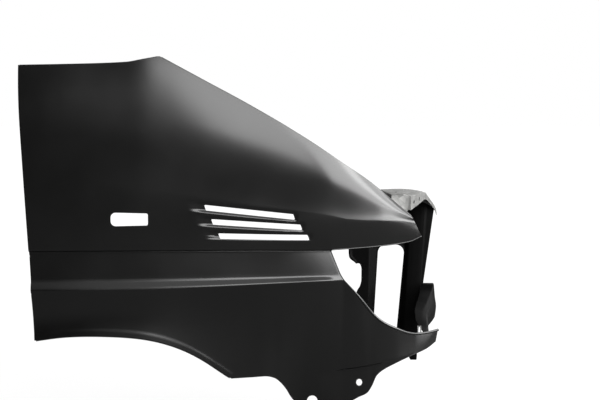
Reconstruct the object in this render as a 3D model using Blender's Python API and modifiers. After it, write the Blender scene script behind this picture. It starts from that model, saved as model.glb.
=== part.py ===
# Right-hand front wing of a van with the panels of its headlamp bay.
# Metres, +X to the front of the van, +Z up, outer side of the wing towards -Y.
# The origin is the middle of the flange that is bolted to the door pillar.

import math

import bpy
import bmesh
import numpy as np
from mathutils import Matrix, Vector

for leftover in list(bpy.data.objects):
    bpy.data.objects.remove(leftover, do_unlink=True)

# Driving sizes
wing_length = 1.040
wing_height = 0.840
wing_depth = 0.280
sheet = 0.0009
rail_sheet = 0.0012
seat_gap = 0.0003
overrun = 0.060
weld_distance = 0.000001

# Folded edges of the wing
door_tilt = math.radians(3.3)
door_flange = 0.022
bonnet_flange = 0.012
bonnet_flange_drop = 0.004
hem = 0.007
lamp_flange = 0.010
arch_flange = 0.014
band_step = 0.009
band_step_drop = 0.003

# Lower panel
lower_hollow = 0.006
rim_rise = 0.0018
rim_ramp = 0.004
joggle_depth = 0.009
joggle_drop = 0.010

# Side repeater hole
repeater_x = 0.2505
repeater_z = -0.0396
repeater_length = 0.0895
repeater_tall = 0.0330
repeater_low = 0.0288
repeater_radius = 0.0120
repeater_small_radius = 0.0040

# Louvres
louvre_count = 3
louvre_x = 0.5390
louvre_z = -0.0230
louvre_pitch_x = 0.0170
louvre_pitch_z = -0.0300
louvre_length = 0.2150
louvre_height = 0.0130
louvre_slant = 0.0055
louvre_radius = 0.0020
louvre_tilt = math.radians(6.2)
louvre_tilt_step = math.radians(2.35)
louvre_recess = 0.0050
louvre_lip = 0.0022
louvre_tail = 0.0380
louvre_nose = 0.0080

# Bumper tab holes
tab_bolt_x = 0.6907
tab_bolt_z = -0.5072
tab_bolt_radius = 0.0132
tab_slot_x = 0.8093
tab_slot_z = -0.4621
tab_slot_width = 0.0150
tab_slot_height = 0.0176

# Outlines of the pressed skin: shares of the wing's length, depth and height
top_edge_shares = [
    (-0.020, 0.082, 0.394), (0.084, 0.068, 0.396), (0.233, 0.057, 0.402), (0.270, 0.054, 0.410),
    (0.310, 0.054, 0.419),
]
bonnet_edge_shares = [
    (0.310, 0.054, 0.419), (0.404, 0.039, 0.356), (0.519, 0.032, 0.279), (0.655, 0.046, 0.179),
    (0.740, 0.125, 0.108), (0.795, 0.232, 0.062), (0.848, 0.339, 0.009), (0.901, 0.436, -0.045),
]
shoulder_shares = [
    (-0.002, -0.039, 0.091), (0.119, -0.043, 0.069), (0.296, -0.046, 0.037), (0.404, -0.043, 0.020),
    (0.554, -0.025, -0.009), (0.704, 0.054, -0.036), (0.747, 0.111, -0.048), (0.799, 0.196, -0.053),
    (0.848, 0.289, -0.055), (0.910, 0.454, -0.066),
]
step_shares = [
    (0.006, -0.025, -0.138), (0.173, -0.029, -0.137), (0.403, -0.018, -0.136), (0.519, 0.011, -0.136),
    (0.604, 0.068, -0.138), (0.707, 0.182, -0.141),
]
beak_hem_shares = [
    (0.707, 0.182, -0.141), (0.777, 0.289, -0.138), (0.845, 0.396, -0.133), (0.898, 0.479, -0.125),
    (0.928, 0.514, -0.110),
]
band_foot_shares = [
    (0.008, -0.004, -0.225), (0.171, -0.007, -0.224), (0.403, 0.004, -0.221), (0.518, 0.032, -0.219),
    (0.604, 0.089, -0.218), (0.705, 0.175, -0.217), (0.729, 0.200, -0.212),
]
ridge_shares = [
    (0.011, -0.046, -0.251), (0.173, -0.050, -0.248), (0.403, -0.036, -0.240), (0.519, -0.007, -0.235),
    (0.604, 0.050, -0.232), (0.707, 0.150, -0.229), (0.738, 0.204, -0.230),
]

# Each row here starts with its place along the lower panel: 0 door edge, 1 under the lamp corner, 2 tip
lamp_edge_shares = [
    (1.00, 0.738, 0.204, -0.230), (1.14, 0.771, 0.254, -0.276), (1.34, 0.814, 0.368, -0.343),
    (1.45, 0.841, 0.411, -0.369), (1.55, 0.866, 0.461, -0.385), (1.68, 0.897, 0.550, -0.403),
    (1.77, 0.922, 0.657, -0.411), (1.85, 0.945, 0.754, -0.413), (2.00, 0.979, 0.896, -0.411),
]
arch_shares = [
    (0.00, 0.016, -0.029, -0.396), (0.10, 0.083, -0.039, -0.385), (0.23, 0.176, -0.046, -0.382),
    (0.33, 0.250, -0.046, -0.387), (0.41, 0.306, -0.039, -0.399), (0.51, 0.379, 0.004, -0.434),
    (0.59, 0.433, 0.075, -0.478), (0.66, 0.473, 0.168, -0.518),
]
foot_shares = [
    (0.66, 0.473, 0.168, -0.518), (0.71, 0.516, 0.239, -0.519), (0.75, 0.551, 0.275, -0.518),
    (0.78, 0.573, 0.311, -0.525), (0.81, 0.587, 0.339, -0.539), (0.84, 0.601, 0.382, -0.562),
    (0.87, 0.615, 0.432, -0.593), (0.90, 0.635, 0.479, -0.619), (0.95, 0.678, 0.496, -0.624),
    (1.00, 0.732, 0.504, -0.620), (1.12, 0.778, 0.496, -0.596), (1.20, 0.798, 0.489, -0.583),
    (1.28, 0.810, 0.482, -0.560), (1.36, 0.821, 0.468, -0.529), (1.55, 0.865, 0.496, -0.494),
    (1.76, 0.920, 0.621, -0.469), (1.87, 0.948, 0.739, -0.460), (2.00, 0.973, 0.875, -0.446),
]

# Width of the hemmed strip along the lower edge, as a share of the wing's height
hem_strip_shares = [
    (0.00, 0.023), (0.66, 0.023), (0.75, 0.018), (0.80, 0.026), (0.84, 0.060), (0.90, 0.118),
    (1.00, 0.120), (1.20, 0.092), (1.36, 0.045), (1.55, 0.016), (1.70, 0.008), (2.00, 0.007),
]

# Where the bumper tab is set back below its fold, as a share of the joggle's depth at each station
joggle_shares = [(0.00, 0), (0.955, 0), (1.005, 1), (1.36, 1), (1.75, 0), (2.00, 0)]

# Bulge of the crown between bonnet edge and shoulder, and how its lower half curves in
crown_bulge = 0.014
tuck_power = 1.6
tuck_share = 0.5
band_step_fade = 0.6
strip_limit = 0.6


def smooth(stations, values):
    """Shape-preserving cubic through the values, with no overshoot."""
    x = np.asarray(stations, float)
    y = np.asarray(values, float)
    h = np.diff(x)
    slope = np.diff(y) / h
    tangent = np.zeros_like(y)
    for i in range(1, len(x) - 1):
        if slope[i - 1] * slope[i] > 0:
            a = 2 * h[i] + h[i - 1]
            b = h[i] + 2 * h[i - 1]
            tangent[i] = (a + b) / (a / slope[i - 1] + b / slope[i])
    tangent[0] = slope[0]
    tangent[-1] = slope[-1]

    def at(s):
        i = int(np.clip(np.searchsorted(x, s) - 1, 0, len(h) - 1))
        t = (s - x[i]) / h[i]
        return float(
            y[i] * (2 * t ** 3 - 3 * t ** 2 + 1)
            + tangent[i] * h[i] * (t ** 3 - 2 * t ** 2 + t)
            + y[i + 1] * (3 * t ** 2 - 2 * t ** 3)
            + tangent[i + 1] * h[i] * (t ** 3 - t ** 2)
        )

    return at


def place(along, depth, height):
    return Vector((along * wing_length, depth * wing_depth, height * wing_height))


def on_door_edge(point):
    """The same point moved along the van to the straight edge beside the door."""
    return Vector((-point.z * math.tan(door_tilt), point.y, point.z))


def line_by_length(shares, from_door=True):
    """Curve that is read by its distance along +X."""
    points = [place(*share) for share in shares]
    if from_door:
        points[0] = on_door_edge(points[0])
    depth = smooth([p.x for p in points], [p.y for p in points])
    height = smooth([p.x for p in points], [p.z for p in points])
    return points[0].x, points[-1].x, lambda x: Vector((x, depth(x), height(x)))


def line_by_station(shares):
    """Curve that is read by its station, the first value of each row."""
    stations = [share[0] for share in shares]
    points = [place(*share[1:]) for share in shares]
    if stations[0] == 0:
        points[0] = on_door_edge(points[0])
    axes = [smooth(stations, [p[axis] for p in points]) for axis in range(3)]
    return lambda s: Vector([axis(s) for axis in axes])


def in_steps(start, end, count):
    return [start + (end - start) * i / count for i in range(count)]


# Materials
def coat(name, colour, roughness, metallic):
    material = bpy.data.materials.new(name)
    material.use_nodes = True
    shader = material.node_tree.nodes["Principled BSDF"]
    shader.inputs["Base Color"].default_value = (*colour, 1)
    shader.inputs["Roughness"].default_value = roughness
    shader.inputs["Metallic"].default_value = metallic
    return material


primer = coat("black_primer", (0.018, 0.018, 0.016), 0.32, 0.0)
inner_black = coat("inner_black", (0.012, 0.012, 0.012), 0.40, 0.0)
bright_steel = coat("bright_steel", (0.45, 0.45, 0.44), 0.35, 0.9)

parts = bpy.data.collections.new("van_front_wing")
cutters = bpy.data.collections.new("cutters")
bpy.context.scene.collection.children.link(parts)
bpy.context.scene.collection.children.link(cutters)


def make_object(name, mesh_source, collection, material=None):
    mesh = bpy.data.meshes.new(name)
    mesh_source.to_mesh(mesh)
    mesh_source.free()
    made = bpy.data.objects.new(name, mesh)
    collection.objects.link(made)
    if material:
        mesh.materials.append(material)
        mesh.shade_smooth()
        mesh.set_sharp_from_angle(angle=math.radians(28))
    return made


def skin_faces(bm, rows):
    """Quads between rows that run from rear to front, top row first."""
    for upper, lower in zip(rows, rows[1:]):
        for c in range(len(upper) - 1):
            corners = [upper[c], lower[c], lower[c + 1], upper[c + 1]]
            kept = [v for i, v in enumerate(corners) if v is not corners[i - 1]]
            if len(kept) > 2:
                bm.faces.new(kept)


def fold_edge(bm, edge, turn):
    """Flange along an edge, listed in the direction that the skin's faces run."""
    folded = [bm.verts.new(v.co + turn(v.co)) for v in edge]
    for i in range(len(edge) - 1):
        bm.faces.new([edge[i + 1], edge[i], folded[i], folded[i + 1]])


def thicken(target, thickness, offset=-1):
    solid = target.modifiers.new("sheet", "SOLIDIFY")
    solid.thickness = thickness
    solid.offset = offset
    solid.use_even_offset = True
    solid.use_quality_normals = True


def rounded_outline(corners, steps=4):
    """Outline of (x, z, radius) corners with each corner turned into an arc."""
    outline = []
    for i, (x, z, radius) in enumerate(corners):
        here = Vector((x, z))
        back = (Vector(corners[i - 1][:2]) - here).normalized()
        ahead = (Vector(corners[(i + 1) % len(corners)][:2]) - here).normalized()
        half = back.angle(ahead) / 2
        centre = here + (back + ahead).normalized() * radius / math.sin(half)
        first = here + back * radius / math.tan(half) - centre
        last = here + ahead * radius / math.tan(half) - centre
        turn = first.angle_signed(last)
        for step in range(steps + 1):
            outline.append(centre + Matrix.Rotation(-turn * step / steps, 2) @ first)
    return outline


def oval_outline(x, z, length, height, steps=16):
    turns = [2 * math.pi * i / steps for i in range(steps)]
    return [(x + math.cos(a) * length / 2, z + math.sin(a) * height / 2) for a in turns]


def outline_solid(name, outline, low, high, collection, material=None):
    """Flat outline in X and Z, extruded along Y from low to high."""
    curve = bpy.data.curves.new(name, "CURVE")
    curve.dimensions = "2D"
    curve.fill_mode = "BOTH"
    curve.extrude = (high - low) / 2
    spline = curve.splines.new("POLY")
    spline.points.add(len(outline) - 1)
    for point, corner in zip(spline.points, outline):
        point.co = (corner[0], corner[1], 0, 1)
    spline.use_cyclic_u = True
    flat = bpy.data.objects.new(name + "_outline", curve)
    flat.matrix_world = Matrix.Translation((0, (low + high) / 2, 0)) @ Matrix.Rotation(math.pi / 2, 4, "X")
    bpy.context.scene.collection.objects.link(flat)
    bpy.context.view_layer.update()
    mesh = bpy.data.meshes.new_from_object(flat.evaluated_get(bpy.context.evaluated_depsgraph_get()))
    bm = bmesh.new()
    bm.from_mesh(mesh)
    bmesh.ops.remove_doubles(bm, verts=bm.verts, dist=weld_distance)
    bmesh.ops.transform(bm, matrix=flat.matrix_world, verts=bm.verts)
    bmesh.ops.recalc_face_normals(bm, faces=bm.faces)
    bpy.data.meshes.remove(mesh)
    bpy.data.objects.remove(flat)
    return make_object(name, bm, collection, material)


def cut_from(target, cutter):
    cutter.hide_render = True
    cutter.display_type = "WIRE"
    cut = target.modifiers.new(cutter.name, "BOOLEAN")
    cut.object = cutter
    cut.operation = "DIFFERENCE"
    cut.solver = "EXACT"


# Wing skin
def louvres():
    """Middle, direction and cross direction of each louvre slot in X and Z."""
    for i in range(louvre_count):
        tilt = louvre_tilt - i * louvre_tilt_step
        middle = Vector((louvre_x + i * louvre_pitch_x, louvre_z + i * louvre_pitch_z))
        yield middle, Vector((math.cos(tilt), -math.sin(tilt))), Vector((math.sin(tilt), math.cos(tilt)))


def fade(distance, width):
    t = min(max(1 - distance / width, 0), 1)
    return t * t * (3 - 2 * t)


def louvre_relief(x, z):
    """How far the skin is pressed in around the louvres."""
    depth = 0
    for middle, along, across in louvres():
        offset = Vector((x, z)) - middle
        run = offset.dot(along)
        rise = offset.dot(across)
        if run < 0:
            ends = fade(-run - louvre_length / 2, louvre_tail)
        else:
            ends = fade(run - louvre_length / 2, louvre_nose)
        trough = fade(abs(rise) - louvre_height / 3, louvre_height / 2)
        lip = fade(abs(rise + louvre_height) - louvre_height / 8, louvre_height / 3)
        depth += ends * (louvre_recess * trough - louvre_lip * lip)
    return depth


def wing_skin():
    bm = bmesh.new()
    rear_top = on_door_edge(place(*top_edge_shares[0]))
    peak_x = place(*bonnet_edge_shares[0]).x
    corner_x = place(*step_shares[-1]).x
    _, _, top_edge = line_by_length(top_edge_shares)
    _, bonnet_end, bonnet_edge = line_by_length(bonnet_edge_shares, False)
    shoulder_start, shoulder_end, shoulder = line_by_length(shoulder_shares)
    step_start, _, step_line = line_by_length(step_shares)
    _, hem_end, beak_hem = line_by_length(beak_hem_shares, False)
    foot_start, foot_end, band_foot = line_by_length(band_foot_shares)
    ridge_start, ridge_end, ridge = line_by_length(ridge_shares)
    lamp_edge = line_by_station(lamp_edge_shares)
    arch = line_by_station(arch_shares)
    foot = line_by_station(foot_shares)
    hem_strip = smooth([share[0] for share in hem_strip_shares], [share[1] for share in hem_strip_shares])

    peak = (peak_x - rear_top.x) / (corner_x - rear_top.x)
    arch_end = arch_shares[-1][0]
    rear_stations = in_steps(0, peak, 9) + in_steps(peak, arch_end, 5) + in_steps(arch_end, 1, 12)
    front_stations = in_steps(1, 2, 14) + [2]
    stations = rear_stations + front_stations
    corner = len(rear_stations)

    def across(station, start, end):
        if station <= 1:
            return start + (corner_x - start) * station
        return corner_x + (end - corner_x) * (station - 1)

    def upper_point(station, v):
        """Point on the upper panel, v 0 at the bonnet edge, 1 at the shoulder, 2 at the step."""
        x = across(station, rear_top.x, bonnet_end)
        edge = top_edge(x) if x <= peak_x else bonnet_edge(x)
        mid = shoulder(across(station, shoulder_start, shoulder_end))
        low_x = across(station, step_start, hem_end)
        low = step_line(low_x) if station <= 1 else beak_hem(low_x)
        if v <= 1:
            point = edge.lerp(mid, v)
            point.y = mid.y + (edge.y - mid.y) * (1 - v) ** 2 - crown_bulge * math.sin(math.pi * v) * (1 - v)
        else:
            point = mid.lerp(low, v - 1)
            point.y = mid.y + (low.y - mid.y) * (v - 1) ** tuck_power
        return point

    def lower_point(station, v):
        """Point on the lower panel, v 0 at the ridge or lamp edge, 1 at the lower edge."""
        top = ridge(ridge_start + (ridge_end - ridge_start) * station) if station <= 1 else lamp_edge(station)
        low = arch(station) if station <= arch_end else foot(station)
        point = top.lerp(low, v)
        tuck = v + tuck_share * v * (1 - v)
        point.y = top.y + (low.y - top.y) * tuck
        if station < 1:
            point.y += lower_hollow * math.sin(math.pi * v) * (1 - station)
        return point

    # upper panel rows
    upper_steps = in_steps(0, 1, 8) + in_steps(1, 2, 5) + [2]
    upper = [[bm.verts.new(upper_point(s, v)) for s in stations] for v in upper_steps]
    skin_faces(bm, upper)

    # stepped band under the upper panel, which ends at the lamp opening
    lip = upper[-1][: corner + 1]
    band_top = []
    band_low = []
    for i, v in enumerate(lip):
        share = stations[i]
        inset = band_step * (1 - band_step_fade * share ** 4)
        band_top.append(bm.verts.new(v.co + Vector((0, inset, -band_step_drop))))
        band_low.append(bm.verts.new(band_foot(foot_start + (foot_end - foot_start) * share)))
    ridge_row = [bm.verts.new(lower_point(s, 0)) for s in stations]
    band_mid = [
        bm.verts.new(a.co.lerp(b.co, 0.5)) for a, b in zip(band_top, band_low)
    ]
    skin_faces(bm, [lip, band_top, band_mid, band_low, ridge_row[: corner + 1]])

    # lower panel rows down to the hemmed strip, then the strip itself
    def strip_start(station):
        top = lower_point(station, 0)
        low = lower_point(station, 1)
        return 1 - min(hem_strip(station) * wing_height / (top - low).length, strip_limit)

    def set_back(station):
        return float(np.interp(station, [s for s, _ in joggle_shares], [share for _, share in joggle_shares]))

    def fold_share(station):
        """Share of the strip taken up by its rounded upper edge."""
        drop = rim_ramp + (joggle_drop - rim_ramp) * set_back(station)
        return min(drop / (hem_strip(station) * wing_height), strip_limit)

    lower = [ridge_row]
    for v in in_steps(0, 1, 7)[1:] + [1]:
        lower.append([bm.verts.new(lower_point(s, v * strip_start(s))) for s in stations])
    for rest in (0, 0.5, 1):
        row = []
        for s in stations:
            start = strip_start(s)
            fold = fold_share(s)
            point = lower_point(s, start + (1 - start) * (fold + (1 - fold) * rest))
            if s <= arch_end:
                point.y -= rim_rise
            point.y += joggle_depth * set_back(s)
            row.append(bm.verts.new(point))
        lower.append(row)
    skin_faces(bm, lower)

    # folded edges
    for row in upper + [band_top, band_mid, band_low] + lower:
        row[0].co = on_door_edge(row[0].co)
    fold_edge(bm, [r[0] for r in upper[1:]], lambda p: Vector((0, door_flange, 0)))
    fold_edge(bm, [r[0] for r in lower[1:-1]], lambda p: Vector((0, door_flange, 0)))
    fold_edge(bm, upper[0][-1:0:-1], lambda p: Vector((0, bonnet_flange, -bonnet_flange_drop)))
    fold_edge(bm, upper[-1][corner + 1:], lambda p: Vector((0, hem, 0)))
    fold_edge(bm, ridge_row[:corner:-1], lambda p: Vector((-lamp_flange / 2, lamp_flange, 0)))
    arch_count = sum(1 for s in stations if s <= arch_end)
    fold_edge(bm, lower[-1][1:arch_count - 1], lambda p: Vector((0, arch_flange, 0)))

    # finer mesh where the louvres are pressed in
    def near_louvres(face):
        middle = face.calc_center_median()
        reach = louvre_length / 2 + louvre_tail
        centre_x = louvre_x + louvre_pitch_x
        centre_z = louvre_z + louvre_pitch_z
        return abs(middle.x - centre_x) < reach and abs(middle.z - centre_z) < 2.2 * abs(louvre_pitch_z)

    upper_set = {v for row in upper for v in row}
    zone = [f for f in bm.faces if all(v in upper_set for v in f.verts) and near_louvres(f)]
    edges = {e for f in zone for e in f.edges}
    bmesh.ops.subdivide_edges(bm, edges=list(edges), cuts=3, use_grid_fill=True)
    for v in bm.verts:
        if v.co.z > place(*step_shares[0]).z + sheet:
            v.co.y += louvre_relief(v.co.x, v.co.z)

    bmesh.ops.triangulate(bm, faces=[f for f in bm.faces if len(f.verts) > 4])
    skin = make_object("wing_skin", bm, parts, primer)
    thicken(skin, sheet)
    return skin, lower_point


def cut_skin(skin):
    left = repeater_x - repeater_length / 2
    right = repeater_x + repeater_length / 2
    tall = repeater_tall / 2
    low = repeater_low / 2
    hole = rounded_outline([
        (left, repeater_z + tall, repeater_radius),
        (right, repeater_z + low, repeater_small_radius),
        (right, repeater_z - low, repeater_small_radius),
        (left, repeater_z - tall, repeater_radius),
    ])
    cut_from(skin, outline_solid("repeater_hole", hole, -overrun, overrun, cutters))
    for i, (middle, along, across) in enumerate(louvres()):
        half = along * louvre_length / 2
        up = across * louvre_height / 2
        slant = along * louvre_slant / 2
        corners = [middle - half - slant + up, middle + half - slant + up,
                   middle + half + slant - up, middle - half + slant - up]
        slot = rounded_outline([(c.x, c.y, louvre_radius) for c in corners], 3)
        cut_from(skin, outline_solid("louvre_slot_%d" % (i + 1), slot, -overrun, 2 * overrun, cutters))
    bpy.ops.mesh.primitive_cylinder_add(
        vertices=24, radius=tab_bolt_radius, depth=wing_depth,
        location=(tab_bolt_x, wing_depth / 2, tab_bolt_z), rotation=(math.pi / 2, 0, 0))
    move_to(bpy.context.object, "tab_bolt_hole", cutters)
    cut_from(skin, bpy.data.objects["tab_bolt_hole"])
    bpy.ops.mesh.primitive_cylinder_add(
        vertices=20, radius=tab_slot_width / 2, depth=wing_depth,
        location=(tab_slot_x, wing_depth / 2, tab_slot_z), rotation=(math.pi / 2, 0, 0))
    bpy.context.object.scale.y = tab_slot_height / tab_slot_width
    move_to(bpy.context.object, "tab_slot_hole", cutters)
    cut_from(skin, bpy.data.objects["tab_slot_hole"])


def move_to(target, name, collection):
    target.name = name
    for holder in list(target.users_collection):
        holder.objects.unlink(target)
    collection.objects.link(target)


skin, skin_point = wing_skin()
cut_skin(skin)


# Shelf welded under the bonnet edge
gutter_start_share = 0.60
gutter_end_share = 0.893
gutter_width = 0.044
gutter_lip = 0.012
gutter_seat = 0.003
gutter_hole_radius = 0.0045
gutter_hole_shares = [0.66, 0.74, 0.81]

_, _, bonnet_line = line_by_length(bonnet_edge_shares, False)


def stacked(x, thickness):
    """Height that a sheet and its seat take up where the bonnet edge slopes."""
    run = bonnet_flange
    slope = (bonnet_line(x).z - bonnet_line(x - run).z) / run
    return (thickness + seat_gap) * math.sqrt(1 + slope ** 2 + (bonnet_flange_drop / bonnet_flange) ** 2)


def gutter_top(x, inboard):
    """Upper side of the shelf, seen as a distance inboard of the bonnet edge."""
    edge = bonnet_line(x)
    fall = bonnet_flange_drop * min(inboard / bonnet_flange, 1.4)
    return edge + Vector((0, inboard, -fall - stacked(x, sheet)))


def bonnet_gutter():
    bm = bmesh.new()
    xs = in_steps(gutter_start_share, gutter_end_share, 18) + [gutter_end_share]
    xs = [x * wing_length for x in xs]
    widths = [gutter_width, gutter_width * 0.7, bonnet_flange * 1.4, bonnet_flange, gutter_seat]
    lip = [bm.verts.new(gutter_top(x, gutter_width) - Vector((0, 0, gutter_lip))) for x in xs]
    rows = [[bm.verts.new(gutter_top(x, w)) for x in xs] for w in widths]
    skin_faces(bm, [lip] + rows)
    gutter = make_object("bonnet_gutter", bm, parts, bright_steel)
    thicken(gutter, rail_sheet)
    for i, share in enumerate(gutter_hole_shares):
        spot = gutter_top(share * wing_length, gutter_width * 0.6)
        bpy.ops.mesh.primitive_cylinder_add(
            vertices=16, radius=gutter_hole_radius, depth=overrun, location=spot)
        move_to(bpy.context.object, "gutter_hole_%d" % (i + 1), cutters)
        cut_from(gutter, bpy.context.object)
    return gutter


bonnet_gutter()


# Arched rail over the headlamp bay: (depth, rear along, rear height, front along, front height, lip)
rail_section_shares = [
    (0.62, 0.856, 0.013, 0.904, 0.007, 1.00), (0.80, 0.845, 0.017, 0.925, 0.012, 0.83),
    (1.05, 0.840, 0.019, 0.943, 0.013, 0.66), (1.30, 0.840, 0.017, 0.958, 0.006, 0.49),
    (1.50, 0.845, 0.004, 0.972, -0.014, 0.38), (1.68, 0.854, -0.020, 0.992, -0.046, 0.35),
    (1.77, 0.860, -0.034, 0.997, -0.060, 0.35),
]
rail_drop_power = 4
rail_lap = 0.014
rail_lip_room = 0.012
rail_stack = 2.3
wall_depth_share = 1.6786
rail_overhang = 0.004
rail_crown = 0.010
rail_front_lip = 0.035
rail_rear_lip = 0.010
rail_hole_radius = 0.0050
rail_face_hole_shares = [0.70, 0.86]
rail_hole_shares = [(0.75, 0.30), (1.00, 0.55), (1.35, 0.35), (1.55, 0.60)]

wall_depth = wall_depth_share * wing_depth
rail_depths = [share[0] for share in rail_section_shares]
rail_curves = [smooth(rail_depths, [share[i] for share in rail_section_shares]) for i in range(1, 6)]


def rail_top(depth_share, across):
    """Upper side of the rail, across 0 at its rear edge and 1 at its front edge."""
    rear_x, rear_z, front_x, front_z, _ = [curve(depth_share) for curve in rail_curves]
    rear = place(rear_x, depth_share, rear_z)
    front = place(front_x, depth_share, front_z)
    point = rear.lerp(front, across)
    drop = (rear.z - front.z) * across ** rail_drop_power
    point.z = rear.z - drop + rail_crown * math.sin(math.pi * across)
    return point


def lamp_top_rail():
    bm = bmesh.new()
    spans = [i / 8 for i in range(9)]
    depths = in_steps(rail_depths[-1], rail_depths[0], 16) + [rail_depths[0]]
    rows = []
    for depth in depths:
        row = [rail_top(depth, t) for t in spans]
        room = (wall_depth - rail_lip_room) / rail_lip_room - depth * wing_depth / rail_lip_room
        row.insert(0, row[0] - Vector((0, 0, rail_rear_lip * min(max(room, 0), 1))))
        row.append(row[-1] - Vector((0, 0, rail_front_lip * rail_curves[-1](depth))))
        rows.append(row)
    seat_end = gutter_end_share * wing_length
    rail_rear = rail_top(depths[-1], 0).x
    for inboard in (gutter_width + rail_overhang, gutter_width - rail_lap):
        row = []
        for t in spans:
            x = rail_rear + (seat_end - rail_rear) * t
            row.append(gutter_top(x, inboard) + Vector((0, 0, stacked(x, rail_sheet))))
        rows.append([row[0].copy()] + row + [row[-1].copy()])
    rows = [[bm.verts.new(p) for p in row] for row in rows]
    skin_faces(bm, rows)
    bmesh.ops.remove_doubles(bm, verts=bm.verts, dist=sheet / 10)
    rail = make_object("lamp_top_rail", bm, parts, bright_steel)
    thicken(rail, rail_sheet)
    for i, (depth, across) in enumerate(rail_hole_shares):
        bpy.ops.mesh.primitive_cylinder_add(
            vertices=16, radius=rail_hole_radius, depth=overrun, location=rail_top(depth, across))
        move_to(bpy.context.object, "rail_hole_%d" % (i + 1), cutters)
        cut_from(rail, bpy.context.object)
    for i, depth in enumerate(rail_face_hole_shares):
        spot = rail_top(depth, 1) - Vector((0, 0, rail_front_lip * rail_curves[-1](depth) / 2))
        bpy.ops.mesh.primitive_cylinder_add(
            vertices=16, radius=rail_hole_radius, depth=overrun / 2, location=spot, rotation=(0, math.pi / 2, 0))
        move_to(bpy.context.object, "rail_face_hole_%d" % (i + 1), cutters)
        cut_from(rail, bpy.context.object)
    return rail


lamp_top_rail()


# Inner wall of the headlamp bay: shares of the wing's length and height, and how deep each fold lies.
# Each hole is given by its height, the strip between folds that it is in, and its place across that strip
wall_lean_share = -0.179
wall_recess = 0.016
wall_fold = 0.003
wall_flange = 0.020
wall_front_share = 0.9742
wall_front_lean = 0.140
wall_rear_shares = [
    (-0.040, 0.7837), (-0.187, 0.7808), (-0.212, 0.7850), (-0.226, 0.7889), (-0.240, 0.7955),
    (-0.250, 0.7968), (-0.286, 0.7965), (-0.305, 0.7929), (-0.322, 0.7850), (-0.357, 0.7800),
    (-0.512, 0.7800),
]
wall_fold_shares = [
    (0.8177, 0.010, 0), (0.8398, 0.055, 1), (0.9121, 0.090, 1), (0.9208, 0.053, 0.25),
    (0.9346, 0.055, 0.1), (0.9500, 0.057, 0), (0.9590, 0.057, 0), (0.9615, 0.075, 0.2),
]
wall_brow_share = -0.119
slot_left_share = 0.8419
slot_left_lean = 0.058
slot_right_share = 0.9111
slot_right_lean = 0.090
slot_top_share = -0.171
slot_low_share = -0.467
slot_radius = 0.022
wall_low_shares = [
    (0.769, -0.501), (0.918, -0.501), (0.924, -0.549), (0.944, -0.549), (0.950, -0.482), (0.981, -0.476),
]
wall_edge_room = 0.004
wall_hole_radius = 0.0045
wall_hole_shares = [(-0.144, 0, 0.35), (-0.388, 0, 0.50), (-0.430, 1, 0.50)]
wall_oval_share = (0.833, -0.479)
wall_oval_length = 0.016
wall_oval_height = 0.008


def under_rail(x, y):
    """Height at which a sheet meets the underside of the rail."""
    depth = y / wing_depth
    rear = rail_top(depth, 0)
    front = rail_top(depth, 1)
    across = min(max((x - rear.x) / (front.x - rear.x), 0), 1)
    return rail_top(depth, across).z - rail_stack * (rail_sheet + seat_gap)


def in_length_and_height(shares):
    return [(along * wing_length, height * wing_height) for along, height in shares]


def lamp_inner_wall():
    bm = bmesh.new()
    rear = in_length_and_height([(along, height) for height, along in wall_rear_shares])
    heights = sorted({z for _, z in rear} | {wall_brow_share * wing_height}, reverse=True)
    front = wall_front_share * wing_length

    def folds(z):
        """Upright edges of the wall at one height, from its rear edge forwards."""
        rise = z - wall_lean_share * wing_height
        bends = [along * wing_length + lean * rise for along, lean, _ in wall_fold_shares]
        edge = float(np.interp(z, [height for _, height in rear][::-1], [x for x, _ in rear][::-1]))
        nose = max(front + wall_front_lean * rise, bends[-1] + wall_edge_room)
        return [min(edge, bends[0] - wall_edge_room)] + bends + [nose]

    rows = []
    depths = [0] + [deep * wall_recess for _, _, deep in wall_fold_shares] + [wall_fold]
    for z in heights:
        xs = folds(z)
        row = [Vector((x, wall_depth + depth, z)) for x, depth in zip(xs, depths)]
        row.append(Vector((xs[-1], wall_depth + wall_flange, z)))
        rows.append([bm.verts.new(p) for p in row])
    for v in rows[0]:
        v.co.z = under_rail(v.co.x, v.co.y)
    low_line = in_length_and_height(wall_low_shares)
    for v in rows[-1]:
        v.co.z = float(np.interp(v.co.x, [x for x, _ in low_line], [z for _, z in low_line]))
    skin_faces(bm, rows)
    wall = make_object("lamp_inner_wall", bm, parts, inner_black)
    thicken(wall, rail_sheet)
    slot_top = slot_top_share * wing_height
    slot_low = slot_low_share * wing_height
    slot_left = slot_left_share * wing_length
    slot_right = slot_right_share * wing_length
    top_rise = slot_top - wall_lean_share * wing_height
    low_rise = slot_low - wall_lean_share * wing_height
    slot = rounded_outline([
        (slot_left + slot_left_lean * top_rise, slot_top, slot_radius),
        (slot_right + slot_right_lean * top_rise, slot_top, slot_radius),
        (slot_right + slot_right_lean * low_rise, slot_low, slot_radius),
        (slot_left + slot_left_lean * low_rise, slot_low, slot_radius),
    ], 6)
    near = wall_depth - overrun
    far = wall_depth + overrun
    cut_from(wall, outline_solid("wall_slot", slot, near, far, cutters))
    oval_spot = in_length_and_height([wall_oval_share])[0]
    oval = oval_outline(*oval_spot, wall_oval_length, wall_oval_height)
    cut_from(wall, outline_solid("wall_oval_hole", oval, near, far, cutters))
    for i, (height, strip, across) in enumerate(wall_hole_shares):
        z = height * wing_height
        xs = folds(z)
        x = xs[strip] + (xs[strip + 1] - xs[strip]) * across
        hole = oval_outline(x, z, wall_hole_radius * 2, wall_hole_radius * 2)
        cut_from(wall, outline_solid("wall_hole_%d" % (i + 1), hole, near, far, cutters))
    return wall


lamp_inner_wall()


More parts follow.
